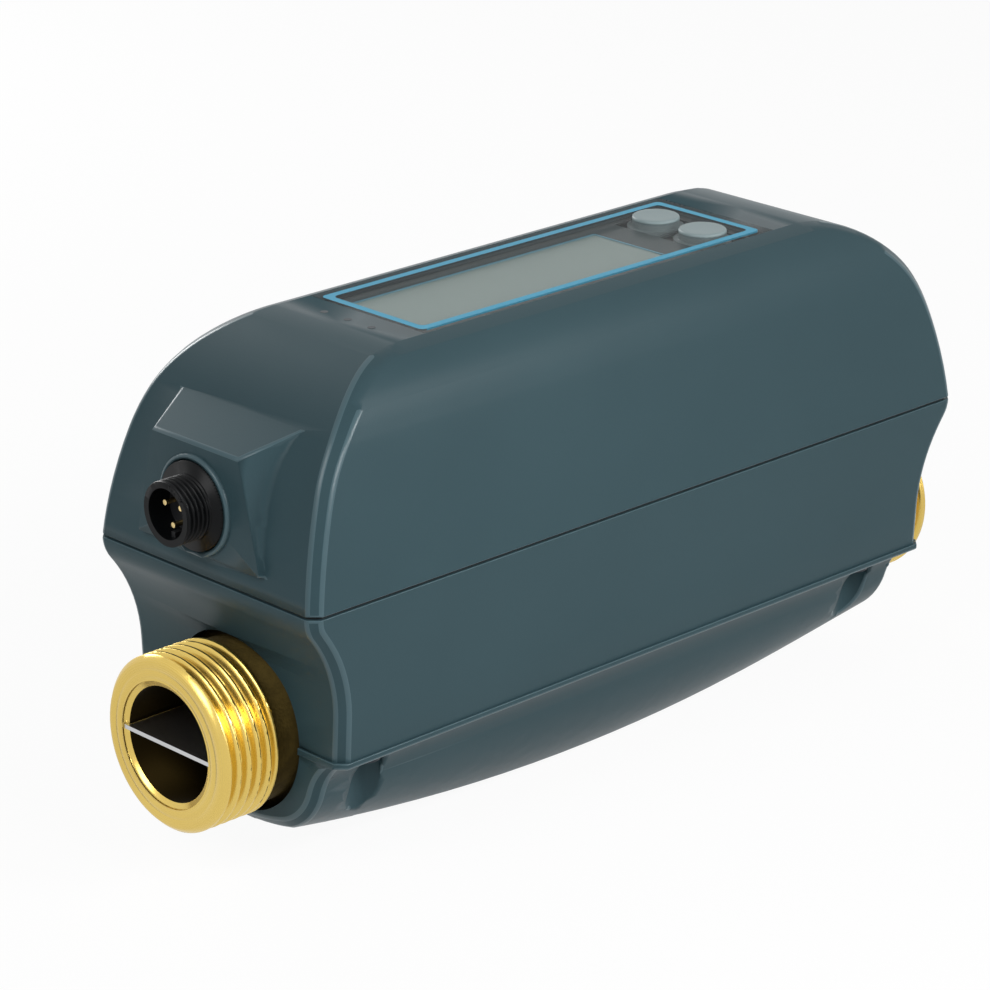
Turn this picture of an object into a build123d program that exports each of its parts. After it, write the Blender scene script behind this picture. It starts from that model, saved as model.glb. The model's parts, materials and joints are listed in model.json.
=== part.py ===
# A smart water valve: a brass flow tube with a motor driven ball valve, carried in a case of
# three shells that also holds the batteries, the boards, a display window, two keys and a
# round signal connector. Lengths are in millimetres. X runs along the pipe in the direction
# of flow, starting at the inlet face, Z is up, and the pipe's own axis is the X axis.
import os
from math import asin, atan2, cos, degrees, hypot, pi, radians, sin, sqrt, tan

from build123d import *

# Cuts and clearances that many pieces share
overrun = 1.0
running_clearance = 0.05
loose_clearance = 0.15
pilot_gap = 0.05

# Pipe, inlet end
pipe_length = 190.0
thread_radius = 16.62
thread_chamfer = 1.06
thread_length = 12.2
relief_radius = 15.2
relief_length = 1.1
collar_radius = 17.0
collar_length = 11.0
mouth_radius = 10.9
mouth_depth = 26.0
step_radius = 12.0
step_depth = 0.8
tube_radius = 13.5
bore_radius = 10.0

# Divider plate that splits the inlet bore
plate_thickness = 0.9
plate_length = 24.0
plate_setback = 0.3
plate_slot_depth = 1.0

# Ultrasonic transducers and their mirrors
first_transducer_x = 37.5
transducer_to_chamber = 42.5
transducer_radius = 6.4
transducer_flange_radius = 7.6
transducer_flange_height = 2.0
boss_radius = 9.4
boss_top = 16.5
seal_wire_radius = 0.55
seal_height_above_bore = 2.2
clamp_length = 25.0
clamp_width = 15.0
clamp_thickness = 1.5
clamp_hole_radius = 4.2
clamp_screw_offset = 9.9
clamp_screw_radius = 1.25
clamp_screw_length = 6.0
screw_head_height = 1.4
screw_head_radius = 2.3
mirror_radius = 3.2
mirror_rise = 1.5

# Ball valve
valve_from_outlet = 50.0
ball_radius = 14.5
port_radius = 9.0
ball_gap = 0.1
chamber_radius = 15.2
chamber_outer_radius = 18.5
chamber_reach = 18.0
body_reach = 15.0
adapter_waist_radius = 14.5
seat_outer_radius = 13.0
seat_inner_radius = 9.3
seat_near = 7.4
seat_far = 12.4
outlet_bore_radius = 9.5
stem_radius = 4.0
stem_tongue_thickness = 3.0
stem_tongue_width = 7.0
tongue_bottom = 11.2
neck_radius = 8.0
neck_top = 24.0
gland_pocket_radius = 6.0
gland_pocket_floor = 20.6
gland_hex_size = 13.0
gland_hex_height = 1.6
neck_hole_room = 1.0
stem_ring_radius = 0.39
stem_ring_spacing = 1.9
first_stem_ring_z = 16.4
ring_ease = 0.01

# Gear train
gear_module = 0.7
gear_thickness = 3.5
gear_layer_gap = 1.0
first_gear_layer_z = 26.2
tooth_backlash = 0.06
gear_axle_radius = 1.0
gear_hub_radius = 2.2
output_hub_radius = 5.0
output_journal_radius = 3.0
stem_square_size = 5.5
gear_tip_room = 0.8
motor_end_room = 8.0

# Gearbox shell and motor
gearbox_wall = 1.5
gearbox_floor = 2.0
gearbox_lid_thickness = 2.0
gearbox_lid_z = 40.0
gearbox_lug_radius = 3.2
gearbox_screw_radius = 1.25
motor_radius = 7.8
motor_head_room = 2.5
motor_pilot_radius = 3.1
motor_end_boss_radius = 4.0
motor_end_boss_height = 1.2
motor_terminal_size = 1.2
cam_radius = 5.5
cam_thickness = 3.0
cam_gap = 0.6
cam_lobe_radius = 1.6
cam_lobe_reach = 8.0
switch_length = 13.0
switch_width = 6.5
switch_height = 6.0
switch_gap = 0.3
switch_button_radius = 0.8
switch_button_length = 1.6

# Case, common to its three shells
case_end_reach = 9.5
case_half_width = 29.8
parting_height = 29.8
parting_gap = 0.5
edge_strip = 1.8
wall = 2.5

# Upper cover
cover_height = 39.6
shoulder_radius = 30.1
shoulder_inset = 33.1
shoulder_lean = 21.0
side_shoulder_radius = 20.1
side_shoulder_drop = 16.9
side_lean = 11.6
top_half_width = 17.2

# Middle shell
mid_end_inset = 7.2
mid_half_width = 28.2
flare_radius = 27.9
flare_height = 8.1
flare_lean = 37.8
deck_z = 20.0
deck_thickness = 2.5
gasket_setback = 0.7
gasket_width = 1.4

# Bottom cover
hull_end_depth = 19.2
hull_middle_depth = 26.4
waist_half_width = 21.2
waist_depth = 8.3
waist_bow = 1.1
bilge_bow = 1.45
keel_half_width = 12.6
keel_rise = 1.6
rim_proud = 0.45
rim_height = 1.3
case_screw_inset = 12.0
case_screw_y = 21.0
case_screw_radius = 1.5
case_screw_length = 14.0
case_screw_head_radius = 2.9
pocket_radius = 3.6
pocket_depth = 3.0
boss_wall = 2.2
pocket_wall = 1.8

# Pipe seals and the saddles that hold the pipe in the case
pipe_hole_clearance = 0.15
pipe_seal_width = 3.0
pipe_seal_height = 1.2
saddle_after_transducer = 24.0
saddle_before_chamber = 15.5
saddle_thickness = 3.0

# Connector pad on the inlet end of the upper cover
pad_proud = 0.75
pad_bottom_above_parting = 4.5
pad_top_above_parting = 25.2
pad_bottom_half_width = 16.5
pad_top_half_width = 11.5
pad_depth = 13.0
pad_root_top_above_parting = 29.7
pad_root_half_width = 17.2
pad_root_spread = 1.5
connector_above_parting = 13.7
connector_nose = 6.9
connector_radius = 6.0
connector_bore_radius = 4.7
connector_flange_radius = 8.2
connector_flange_proud = 1.35
connector_flange_thickness = 2.4
connector_lip_radius = 9.4
connector_lip_proud = 0.85
connector_tail = 6.4
connector_seat_depth = 6.85
connector_nut_size = 15.0
connector_nut_thickness = 2.6
insert_recess = 4.75
pin_radius = 0.5
pin_circle_radius = 2.45
pin_recess = 1.6
connector_ring_wire = 0.5
connector_ring_radius = 7.0

# Display window
window_start_x = 49.6
window_end_inset = 49.0
window_half_width = 15.3
window_thickness = 1.4
window_ledge = 2.0
trim_start_inset = 0.8
trim_end_inset = 1.7
trim_side_inset = 1.7
trim_width = 1.6
trim_thickness = 0.35
trim_corner = 1.2

# Display board, display and keys
lcd_start_inset = 3.9
lcd_end_inset = 23.0
lcd_side_inset = 5.1
lcd_thickness = 2.8
lcd_below_window = 0.2
lcd_frame_width = 2.0
board_thickness = 1.6
display_board_drop = 8.0
display_board_start_reach = 6.6
display_board_end_reach = 6.5
display_board_half_width = 15.5
display_post_radius = 2.5
display_post_half_width = 10.0
key_from_window_end = 10.0
key_y = 6.2
key_radius = 4.65
key_hole_clearance = 0.15
key_flange_radius = 5.6
key_flange_thickness = 0.9
key_proud = 0.5
key_travel = 0.5
key_rest_gap = 0.1
key_stem_radius = 2.4
key_switch_size = 6.0
key_switch_height = 3.5
key_switch_well = 1.5
plunger_radius = 1.7
plunger_length = 1.5

# Main board and what it carries
main_board_z = 46.0
main_board_start_x = 24.0
main_board_motor_gap = 4.1
main_board_half_width = 16.0
main_post_radius = 2.6
main_post_inset = 3.2
board_screw_radius = 1.1
board_screw_length = 5.0
board_head_radius = 2.0
radio_length = 22.0
radio_width = 16.0
radio_height = 3.0
chip_size = 9.0
chip_height = 1.5
capacitor_radius = 3.5
capacitor_height = 7.0

# Batteries
cell_radius = 9.25
cell_length = 50.0
cell_spacing = 20.0
cell_start_x = 32.2
cell_nub_radius = 3.0
cell_nub_length = 1.0
tray_floor = 1.4
tray_wall = 1.6
cradle_height = 9.0
cradle_thickness = 3.0
contact_thickness = 0.6

# Screws that hold the upper cover from below the deck
cover_screw_inset = 12.0
cover_screw_y = 20.5
cover_screw_radius = 1.5
cover_screw_length = 22.0
cover_post_radius = 3.8

# Shapes of gear teeth and of the case, as shares and counts
pressure_angle = 25.0
addendum_share = 0.9
dedendum_share = 1.15
flank_steps = 3
small_teeth = 12
middle_teeth = 30
output_teeth = 36
second_axle_angle = 150.0
first_axle_angle = 240.0
motor_axle_angle = 180.0
section_shares = (-1, -0.6, -0.25, 0, 0.25, 0.6, 1)
inset_turn_share = 0.7
connector_pin_angles = (30, 150, 270)

# Places worked out from the sizes above
case_middle_x = pipe_length / 2
case_half_length = case_middle_x - case_end_reach
mid_half_length = case_half_length - mid_end_inset
outer_bound = 2 * (case_half_length + parting_height)
cover_top = parting_height + cover_height
deck_top = deck_z + deck_thickness
valve_x = pipe_length - valve_from_outlet
chamber_start = valve_x - chamber_reach
body_end = valve_x + body_reach
second_transducer_x = chamber_start - transducer_to_chamber
transducer_places = (first_transducer_x, second_transducer_x)
pipe_seal_x = case_end_reach + mid_end_inset + wall
saddle_places = (
    first_transducer_x + saddle_after_transducer,
    chamber_start - saddle_before_chamber,
)
pad_front_x = case_end_reach - pad_proud
connector_z = parting_height + connector_above_parting
connector_front_x = pad_front_x - connector_nose
connector_flange_front_x = pad_front_x - connector_flange_proud
connector_lip_front_x = pad_front_x - connector_lip_proud
connector_seat_x = pad_front_x + connector_seat_depth
insert_face_x = connector_front_x + insert_recess
window_bottom = cover_top - window_thickness
window_end_x = pipe_length - window_end_inset
trim_start_x = window_start_x + trim_start_inset
trim_end_x = window_end_x - trim_end_inset
trim_half_width = window_half_width - trim_side_inset
lcd_start_x = window_start_x + lcd_start_inset
lcd_end_x = window_end_x - lcd_end_inset
lcd_half_width = window_half_width - lcd_side_inset
key_x = window_end_x - key_from_window_end
display_board_z = window_bottom - display_board_drop
display_board_start_x = window_start_x - display_board_start_reach
display_board_end_x = window_end_x + display_board_end_reach
gearbox_base_z = deck_top
lid_top = gearbox_lid_z + gearbox_lid_thickness
motor_length = display_board_z - motor_head_room - lid_top

parts = {}


def rod(start, end, radius, y=0, z=0):
    """A cylinder along X between two stations."""
    core = Cylinder(radius, end - start, align=(Align.CENTER, Align.CENTER, Align.MIN))
    return Pos(start, y, z) * Rot(0, 90, 0) * core


def post(x, y, bottom, top, radius):
    """An upright cylinder."""
    return Pos(x, y, bottom) * Cylinder(
        radius, top - bottom, align=(Align.CENTER, Align.CENTER, Align.MIN)
    )


def block(low, high):
    """A box between two opposite corners."""
    size = [b - a for a, b in zip(low, high)]
    return Pos(*low) * Box(*size, align=(Align.MIN, Align.MIN, Align.MIN))


def turned(points):
    """A solid of revolution about the pipe's axis, from (x, radius) points."""
    outline = Polyline(*points, close=True)
    return revolve(make_face(outline), axis=Axis.X)


def upright_ring(x, y, z, middle_radius, wire_radius):
    """A round sealing ring whose axis is upright."""
    return Pos(x, y, z) * Torus(middle_radius, wire_radius)


def hexagon(size):
    """A hexagon by its width across flats."""
    return RegularPolygon(size / 2, 6, major_radius=False)


def keep(name, shape):
    """Store a piece under its name, as one compound where it has several solids."""
    solids = shape.solids()
    parts[name] = solids[0] if len(solids) == 1 else Compound(children=list(solids))


def fused(shapes):
    """All the shapes added together."""
    total = shapes[0]
    for shape in shapes[1:]:
        total = total + shape
    return total


def screw(x, y, seat, length, radius, head_radius, upward):
    """A pan head screw: the head lies below its seat when it points upward, else above it."""
    way = 1 if upward else -1
    shank = post(x, y, min(seat, seat + way * length), max(seat, seat + way * length), radius)
    head = post(
        x,
        y,
        min(seat, seat - way * screw_head_height),
        max(seat, seat - way * screw_head_height),
        head_radius,
    )
    return shank + head


# Case outlines. Each takes an inset, so that the same lines give the outside and the cavity.


def mirrored_face(right_edges, bottom_half, bottom_z, top_half, top_z):
    """A face from the edges of its right side and their mirror images, closed by level lines."""
    left_edges = [edge.mirror(Plane.YZ) for edge in right_edges]
    floor = Line((-bottom_half, bottom_z), (bottom_half, bottom_z))
    roof = Line((-top_half, top_z), (top_half, top_z))
    return make_face([*right_edges, *left_edges, floor, roof])


def cover_arch(inset):
    """The upper cover seen from the side: an arch with round shoulders and a flat top."""
    foot = case_half_length - inset
    radius = shoulder_radius - inset
    centre_x = case_half_length - shoulder_inset
    centre_z = cover_top - shoulder_radius
    lean = radians(shoulder_lean)
    turn = (centre_x + radius * cos(lean), centre_z + radius * sin(lean))
    shoulder = CenterArc((centre_x, centre_z), radius, shoulder_lean, 90 - shoulder_lean)
    leg = TangentArc(turn, (foot, parting_height), tangent=(sin(lean), -cos(lean)))
    return mirrored_face([shoulder, leg], foot, parting_height, centre_x, cover_top - inset)


def cover_side(inset):
    """The upper cover seen from the end: leaning walls that round over to the flat top."""
    foot = case_half_width - inset
    centre_z = cover_top - side_shoulder_drop
    centre_y = top_half_width - sqrt(side_shoulder_radius**2 - side_shoulder_drop**2)
    radius = side_shoulder_radius - inset
    lean = radians(side_lean)
    top_z = cover_top - inset
    top_angle = asin((top_z - centre_z) / radius)
    turn = (centre_y + radius * cos(lean), centre_z + radius * sin(lean))
    shoulder = CenterArc((centre_y, centre_z), radius, side_lean, degrees(top_angle) - side_lean)
    leg = TangentArc(turn, (foot, parting_height), tangent=(sin(lean), -cos(lean)))
    top_half = centre_y + radius * cos(top_angle)
    return mirrored_face([shoulder, leg], foot, parting_height, top_half, top_z)


def mid_end(inset):
    """The middle shell seen from the side: ends that flare out to the parting line."""
    foot = mid_half_length - inset
    radius = flare_radius + inset
    centre = (mid_half_length + flare_radius, flare_height)
    lean = radians(flare_lean)
    turn = (centre[0] - radius * cos(lean), centre[1] + radius * sin(lean))
    straight = Line((foot, 0), (foot, flare_height))
    flare = CenterArc(centre, radius, 180 - flare_lean, flare_lean)
    top = (case_half_length - inset, parting_height)
    lip = TangentArc(turn, top, tangent=(sin(lean), cos(lean)))
    return mirrored_face([straight, flare, lip], foot, 0, top[0], parting_height)


def mid_side(inset):
    """The middle shell seen from the end: two nearly upright walls."""
    side = Line((mid_half_width - inset, 0), (case_half_width - inset, parting_height))
    return mirrored_face(
        [side], mid_half_width - inset, 0, case_half_width - inset, parting_height
    )


def crossed(end_view, side_view):
    """The solid that has one outline from the side and another from the end."""
    along = extrude(Plane.XZ * end_view, amount=outer_bound, both=True)
    across = extrude(Plane.YZ * side_view, amount=outer_bound, both=True)
    return (along & across).solids()[0]


def corner_edges(solid):
    """The edges between the end faces and the side faces of a crossed solid."""
    chosen = []
    for edge in solid.edges():
        box = edge.bounding_box()
        flat_across = box.size.X < pilot_gap and box.size.Z < pilot_gap
        on_floor = box.size.Z < pilot_gap and box.min.Z < cover_top - edge_strip
        if not flat_across and not on_floor:
            chosen.append(edge)
    return chosen


def with_edge_strip(solid):
    """The solid with a narrow flat strip along its corner edges."""
    return chamfer(corner_edges(solid), edge_strip)


def hull_section(x, depth, inset):
    """The bottom cover's section: a hollow waist under the rim, then a round bilge and keel."""
    top = mid_half_width - inset
    waist = (waist_half_width - inset, -waist_depth)
    keel_z = inset - depth
    turn = (keel_half_width - inset * inset_turn_share, keel_z + keel_rise)
    hollow = SagittaArc((top, 0), waist, -waist_bow)
    bilge = SagittaArc(waist, turn, bilge_bow)
    keel = ThreePointArc(turn, (0, keel_z), (-turn[0], turn[1]))
    far_side = [edge.mirror(Plane.YZ) for edge in (hollow, bilge)]
    face = make_face([hollow, bilge, keel, *far_side, Line((-top, 0), (top, 0))])
    return Plane.YZ.offset(case_middle_x + x) * face


def hull_depth(x, end_x):
    """The hull's depth below the axis: deepest in the middle, along one long arc."""
    rise = hull_middle_depth - hull_end_depth
    radius = (end_x**2 + rise**2) / (2 * rise)
    return hull_middle_depth - radius + sqrt(radius**2 - x**2)


def hull(inset, end_x):
    """The bottom cover's body as a loft of sections up to the stations end_x each way."""
    sections = []
    for share in section_shares:
        x = share * end_x
        sections.append(hull_section(x, hull_depth(x, mid_half_length), inset))
    return loft(sections)


# Case shells


def make_upper_cover():
    """The upper cover with its window seat, connector pad, posts and key opening."""
    outside = Pos(case_middle_x, 0, 0) * with_edge_strip(crossed(cover_arch(0), cover_side(0)))
    cavity = Pos(case_middle_x, 0, 0) * crossed(cover_arch(wall), cover_side(wall))
    pad = connector_pad()
    lip = rod(connector_lip_front_x, connector_seat_x, connector_lip_radius, z=connector_z)
    inner_boss = rod(
        pad_front_x, connector_seat_x, connector_lip_radius + wall, z=connector_z
    )
    shell = outside + pad + lip - cavity
    shell = shell + (inner_boss & (outside + pad))
    shell = shell - rod(
        0, 2 * connector_seat_x, connector_radius + loose_clearance, z=connector_z
    )
    shell = shell - rod(
        0, connector_flange_seat_x, connector_flange_radius + loose_clearance, z=connector_z
    )
    shell = shell - rod(
        connector_seat_x, 2 * connector_seat_x, connector_lip_radius, z=connector_z
    )
    groove_end = connector_flange_seat_x + 2 * connector_ring_wire
    groove_inner = connector_ring_radius - connector_ring_wire
    groove = rod(
        connector_flange_seat_x, groove_end, groove_inner + 2 * connector_ring_wire, z=connector_z
    )
    shell = shell - (
        groove - rod(connector_flange_seat_x, groove_end, groove_inner, z=connector_z)
    )
    for x, y in cover_screw_places:
        column = post(x, y, parting_height, cover_top, cover_post_radius)
        shell = shell + (column & outside)
        hole_top = deck_z + cover_screw_length + overrun
        shell = shell - post(x, y, parting_height, hole_top, cover_screw_radius)
    for x, y in display_post_places:
        column = post(x, y, display_board_top, cover_top - wall / 2, display_post_radius)
        hole_top = display_board_z + board_screw_length + overrun
        shell = shell + column - post(x, y, display_board_z, hole_top, board_screw_radius)
    seat = block(
        (window_start_x - loose_clearance, -window_half_width - pilot_gap, window_bottom),
        (window_end_x + loose_clearance, window_half_width + pilot_gap, cover_top + overrun),
    )
    opening = block(
        (window_start_x + window_ledge, window_ledge - window_half_width, display_board_z),
        (window_end_x - window_ledge, window_half_width - window_ledge, cover_top),
    )
    slot = block(
        (0, -case_half_width, parting_height),
        (pipe_length, case_half_width, parting_height + parting_gap / 2),
    )
    return shell - seat - opening - slot


def connector_pad():
    """The raised pad on the inlet end that the connector stands on."""
    front = Plane(origin=(pad_front_x, 0, 0), x_dir=(0, 1, 0), z_dir=(1, 0, 0))
    back = Plane(origin=(pad_front_x + pad_depth, 0, 0), x_dir=(0, 1, 0), z_dir=(1, 0, 0))
    low = parting_height + pad_bottom_above_parting
    high = parting_height + pad_top_above_parting
    root_low = parting_height + parting_gap
    root_high = parting_height + pad_root_top_above_parting
    near = front * make_face(
        Polyline(
            (-pad_bottom_half_width, low),
            (pad_bottom_half_width, low),
            (pad_top_half_width, high),
            (-pad_top_half_width, high),
            close=True,
        )
    )
    far = back * make_face(
        Polyline(
            (-pad_bottom_half_width - pad_root_spread, root_low),
            (pad_bottom_half_width + pad_root_spread, root_low),
            (pad_root_half_width, root_high),
            (-pad_root_half_width, root_high),
            close=True,
        )
    )
    return loft([near, far], ruled=True)


def make_mid_case():
    """The middle shell with its deck, posts and half-round pipe openings."""
    outside = Pos(case_middle_x, 0, 0) * with_edge_strip(crossed(mid_end(0), mid_side(0)))
    cavity = Pos(case_middle_x, 0, 0) * crossed(mid_end(wall), mid_side(wall))
    far = (pipe_length, outer_bound, outer_bound)
    above = cavity & block((0, -outer_bound, deck_top), far)
    below = cavity & block((0, -outer_bound, 0), (far[0], far[1], deck_z))
    slot = block(
        (0, -outer_bound, parting_height - parting_gap / 2),
        (pipe_length, outer_bound, parting_height),
    )
    shell = outside - above - below - slot
    for x, y in case_screw_places:
        column = post(x, y, 0, deck_z, case_screw_radius + boss_wall) & outside
        hole_top = case_screw_length + overrun
        shell = shell + column - post(x, y, 0, hole_top, case_screw_radius)
    for x, y in cover_screw_places:
        column = post(x, y, deck_z, parting_height - parting_gap / 2, cover_post_radius)
        hole = post(x, y, 0, parting_height, cover_screw_radius + loose_clearance)
        shell = shell + (column & outside) - hole
    for x, y in main_post_places:
        column = post(x, y, deck_z, main_board_z, main_post_radius)
        hole_bottom = main_board_z + board_thickness - board_screw_length - overrun
        shell = shell + column - post(x, y, hole_bottom, main_board_z, board_screw_radius)
    for x, y in gearbox_lug_places:
        column = post(x, y, deck_z - deck_thickness, deck_top, gearbox_lug_radius)
        hole = post(x, y, deck_z - deck_thickness, deck_top, gearbox_screw_radius)
        shell = shell + column - hole
    for x in saddle_places:
        web = block(
            (x, -case_half_width, 0), (x + saddle_thickness, case_half_width, deck_z)
        )
        shell = shell + (web & cavity)
    shell = shell - pipe_opening()
    shell = shell - post(valve_x, 0, 0, deck_top, neck_radius + loose_clearance)
    for x in transducer_places:
        shell = shell - post(x, 0, 0, deck_top, clamp_hole_radius)
    return shell


def make_bottom_cover():
    """The boat-shaped bottom cover with its rim, screw pockets and saddles."""
    end_x = mid_half_length - edge_strip
    body = hull(0, end_x)
    for side in (-1, 1):
        inner = hull_section(side * end_x, hull_depth(end_x, mid_half_length), 0)
        outer = hull_section(
            side * mid_half_length, hull_depth(end_x, mid_half_length), edge_strip
        )
        body = body + loft([inner, outer], ruled=True)
    half_length = mid_half_length + rim_proud
    half_width = mid_half_width + rim_proud
    rim = extrude(Rectangle(2 * half_length, 2 * half_width), amount=-rim_height)
    rim = chamfer(rim.edges().filter_by(Axis.Z), edge_strip)
    outside = body + Pos(case_middle_x, 0, 0) * rim
    cavity = hull(wall, mid_half_length - wall)
    shell = outside - cavity
    for x, y in case_screw_places:
        column = post(x, y, -outer_bound, 0, pocket_radius + pocket_wall) & outside
        shell = shell + column
        shell = shell - post(x, y, -outer_bound, -pocket_depth, pocket_radius)
        shell = shell - post(x, y, -outer_bound, 0, case_screw_radius + loose_clearance)
    for x in saddle_places:
        web = block(
            (x, -case_half_width, -hull_middle_depth), (x + saddle_thickness, case_half_width, 0)
        )
        shell = shell + (web & cavity)
    return shell - pipe_opening()


def pipe_opening():
    """What the pipe takes out of the end walls and of the saddles."""
    through = rod(-overrun, pipe_length + overrun, tube_radius + pipe_hole_clearance)
    for x in pipe_seal_places:
        start = 0 if x < case_middle_x else pipe_length - saddle_end_clear
        through = through + rod(
            start, start + saddle_end_clear, collar_radius + pipe_hole_clearance
        )
        through = through + rod(x, x + pipe_seal_width, collar_radius + pipe_seal_height)
    return through


def make_gasket():
    """The gasket that fills the upper parting line, set back from the outside."""
    rings = []
    for inset in (gasket_setback, gasket_setback + gasket_width):
        plan = Rectangle(2 * (case_half_length - inset), 2 * (case_half_width - inset))
        rings.append(chamfer(plan.vertices(), edge_strip))
    band = extrude(rings[0] - rings[1], amount=parting_gap)
    return Pos(case_middle_x, 0, parting_height - parting_gap / 2) * band


# Pipe and valve


def make_pipe_body():
    """The brass body: inlet thread, collar, measuring tube, transducer bosses and ball chamber."""
    collar_start = thread_length + relief_length
    collar_end = collar_start + collar_length
    outside = turned(
        [
            (0, 0),
            (0, thread_radius - thread_chamfer),
            (thread_chamfer, thread_radius),
            (thread_length, thread_radius),
            (thread_length, relief_radius),
            (collar_start, relief_radius),
            (collar_start, collar_radius),
            (collar_end, collar_radius),
            (collar_end + edge_strip, tube_radius),
            (chamber_start - edge_strip, tube_radius),
            (chamber_start, chamber_outer_radius),
            (body_end, chamber_outer_radius),
            (body_end, 0),
        ]
    )
    for x in transducer_places:
        outside = outside + post(x, 0, 0, boss_top, boss_radius)
        ear = Pos(x, 0, 0) * extrude(SlotOverall(clamp_length, clamp_width), amount=boss_top)
        outside = outside + ear
        outside = outside + post(x, 0, -tube_radius - mirror_rise, 0, mirror_radius + boss_wall)
    outside = outside + post(valve_x, 0, 0, neck_top, neck_radius)
    seat_start = valve_x - seat_far
    inside = turned(
        [
            (-overrun, 0),
            (-overrun, step_radius),
            (step_depth, step_radius),
            (step_depth, mouth_radius),
            (mouth_depth, mouth_radius),
            (mouth_depth + edge_strip, bore_radius),
            (chamber_start, bore_radius),
            (seat_start, outlet_bore_radius),
            (seat_start, seat_outer_radius),
            (valve_x - seat_near, seat_outer_radius),
            (valve_x - seat_near, chamber_radius),
            (body_end + overrun, chamber_radius),
            (body_end + overrun, 0),
        ]
    )
    body = outside - inside - plate_slot()
    for x in transducer_places:
        body = body - post(x, 0, 0, boss_top, transducer_radius + running_clearance)
        body = body - post(
            x,
            0,
            boss_top - transducer_flange_height,
            boss_top,
            transducer_flange_radius + loose_clearance,
        )
        body = body - post(x, 0, -outer_bound, 0, mirror_radius)
        for side in (-1, 1):
            hole_bottom = boss_top + clamp_thickness - clamp_screw_length - pilot_gap
            body = body - post(
                x + side * clamp_screw_offset, 0, hole_bottom, boss_top, clamp_screw_radius
            )
    body = body - post(valve_x, 0, 0, neck_top, stem_radius + running_clearance)
    return body - post(valve_x, 0, gland_pocket_floor, neck_top, gland_pocket_radius)


def plate_slot():
    """The slots in the inlet bore that hold the divider plate."""
    half = mouth_radius + plate_slot_depth
    height = plate_thickness / 2
    return block(
        (-overrun, -half, -height), (plate_setback + plate_length, half, height)
    )


def make_outlet_adapter():
    """The screwed-in outlet end: it carries the second seat, the collar and the outlet thread."""
    thread_start = pipe_length - thread_length
    collar_end = thread_start - relief_length
    socket = chamber_radius - running_clearance
    seat_end = valve_x + seat_far
    adapter = turned(
        [
            (valve_x + seat_near, 0),
            (valve_x + seat_near, socket),
            (body_end, socket),
            (body_end, adapter_waist_radius),
            (collar_end - collar_length - edge_strip, adapter_waist_radius),
            (collar_end - collar_length, collar_radius),
            (collar_end, collar_radius),
            (collar_end, relief_radius),
            (thread_start, relief_radius),
            (thread_start, thread_radius),
            (pipe_length - thread_chamfer, thread_radius),
            (pipe_length, thread_radius - thread_chamfer),
            (pipe_length, 0),
        ]
    )
    inside = turned(
        [
            (valve_x + seat_near - overrun, 0),
            (valve_x + seat_near - overrun, seat_outer_radius),
            (seat_end, seat_outer_radius),
            (seat_end, outlet_bore_radius),
            (pipe_length - step_depth, outlet_bore_radius),
            (pipe_length - step_depth, step_radius),
            (pipe_length + overrun, step_radius),
            (pipe_length + overrun, 0),
        ]
    )
    return adapter - inside - Pos(valve_x, 0, 0) * Sphere(ball_radius + 2 * ball_gap)


def make_ball():
    """The drilled ball with the slot that the stem turns it by."""
    ball = Sphere(ball_radius) - Cylinder(port_radius, outer_bound, rotation=(0, 90, 0))
    half_slot = stem_tongue_thickness / 2 + pilot_gap
    half_width = stem_tongue_width / 2 + pilot_gap
    slot = block(
        (-half_slot, -half_width, tongue_bottom - pilot_gap),
        (half_slot, half_width, ball_radius + overrun),
    )
    return Pos(valve_x, 0, 0) * (ball - slot)


def make_seats():
    """The two ring seats, hollowed to the ball."""
    hollow_radius = ball_radius + ball_gap
    lip = (seat_near, sqrt(hollow_radius**2 - seat_near**2))
    throat = (sqrt(hollow_radius**2 - seat_inner_radius**2), seat_inner_radius)
    middle_angle = (atan2(lip[1], lip[0]) + atan2(throat[1], throat[0])) / 2
    middle = (hollow_radius * cos(middle_angle), hollow_radius * sin(middle_angle))
    hollow = ThreePointArc(throat, middle, lip)
    back = Polyline(
        lip,
        (seat_near, seat_outer_radius),
        (seat_far, seat_outer_radius),
        (seat_far, seat_inner_radius),
        throat,
    )
    seat = revolve(make_face([hollow, back]), axis=Axis.X)
    return [Pos(valve_x, 0, 0) * seat, Pos(valve_x, 0, 0) * Rot(0, 180, 0) * seat]


def make_stem():
    """The valve stem: tongue, journal with two ring grooves, and a square drive end."""
    tongue = block(
        (-stem_tongue_thickness / 2, -stem_tongue_width / 2, tongue_bottom),
        (stem_tongue_thickness / 2, stem_tongue_width / 2, ball_radius),
    )
    journal = post(0, 0, ball_radius, first_gear_layer_z, stem_radius)
    half = stem_square_size / 2
    square = block(
        (-half, -half, first_gear_layer_z), (half, half, first_gear_layer_z + gear_thickness)
    )
    square = square & post(0, 0, first_gear_layer_z, outer_bound, stem_radius - pilot_gap)
    stem = Pos(valve_x, 0, 0) * (tongue + journal + square)
    for z in stem_ring_places:
        groove = post(valve_x, 0, z - stem_ring_radius, z + stem_ring_radius, outer_bound)
        groove = groove - post(
            valve_x, 0, z - stem_ring_radius, z + stem_ring_radius, stem_groove_radius
        )
        stem = stem - groove
    return stem


# Gears


def involute_point(base_radius, radius):
    """The polar angle of an involute at a radius, measured from where it leaves the base."""
    if radius <= base_radius:
        return 0
    roll = sqrt((radius / base_radius) ** 2 - 1)
    return roll - atan2(roll, 1)


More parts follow.
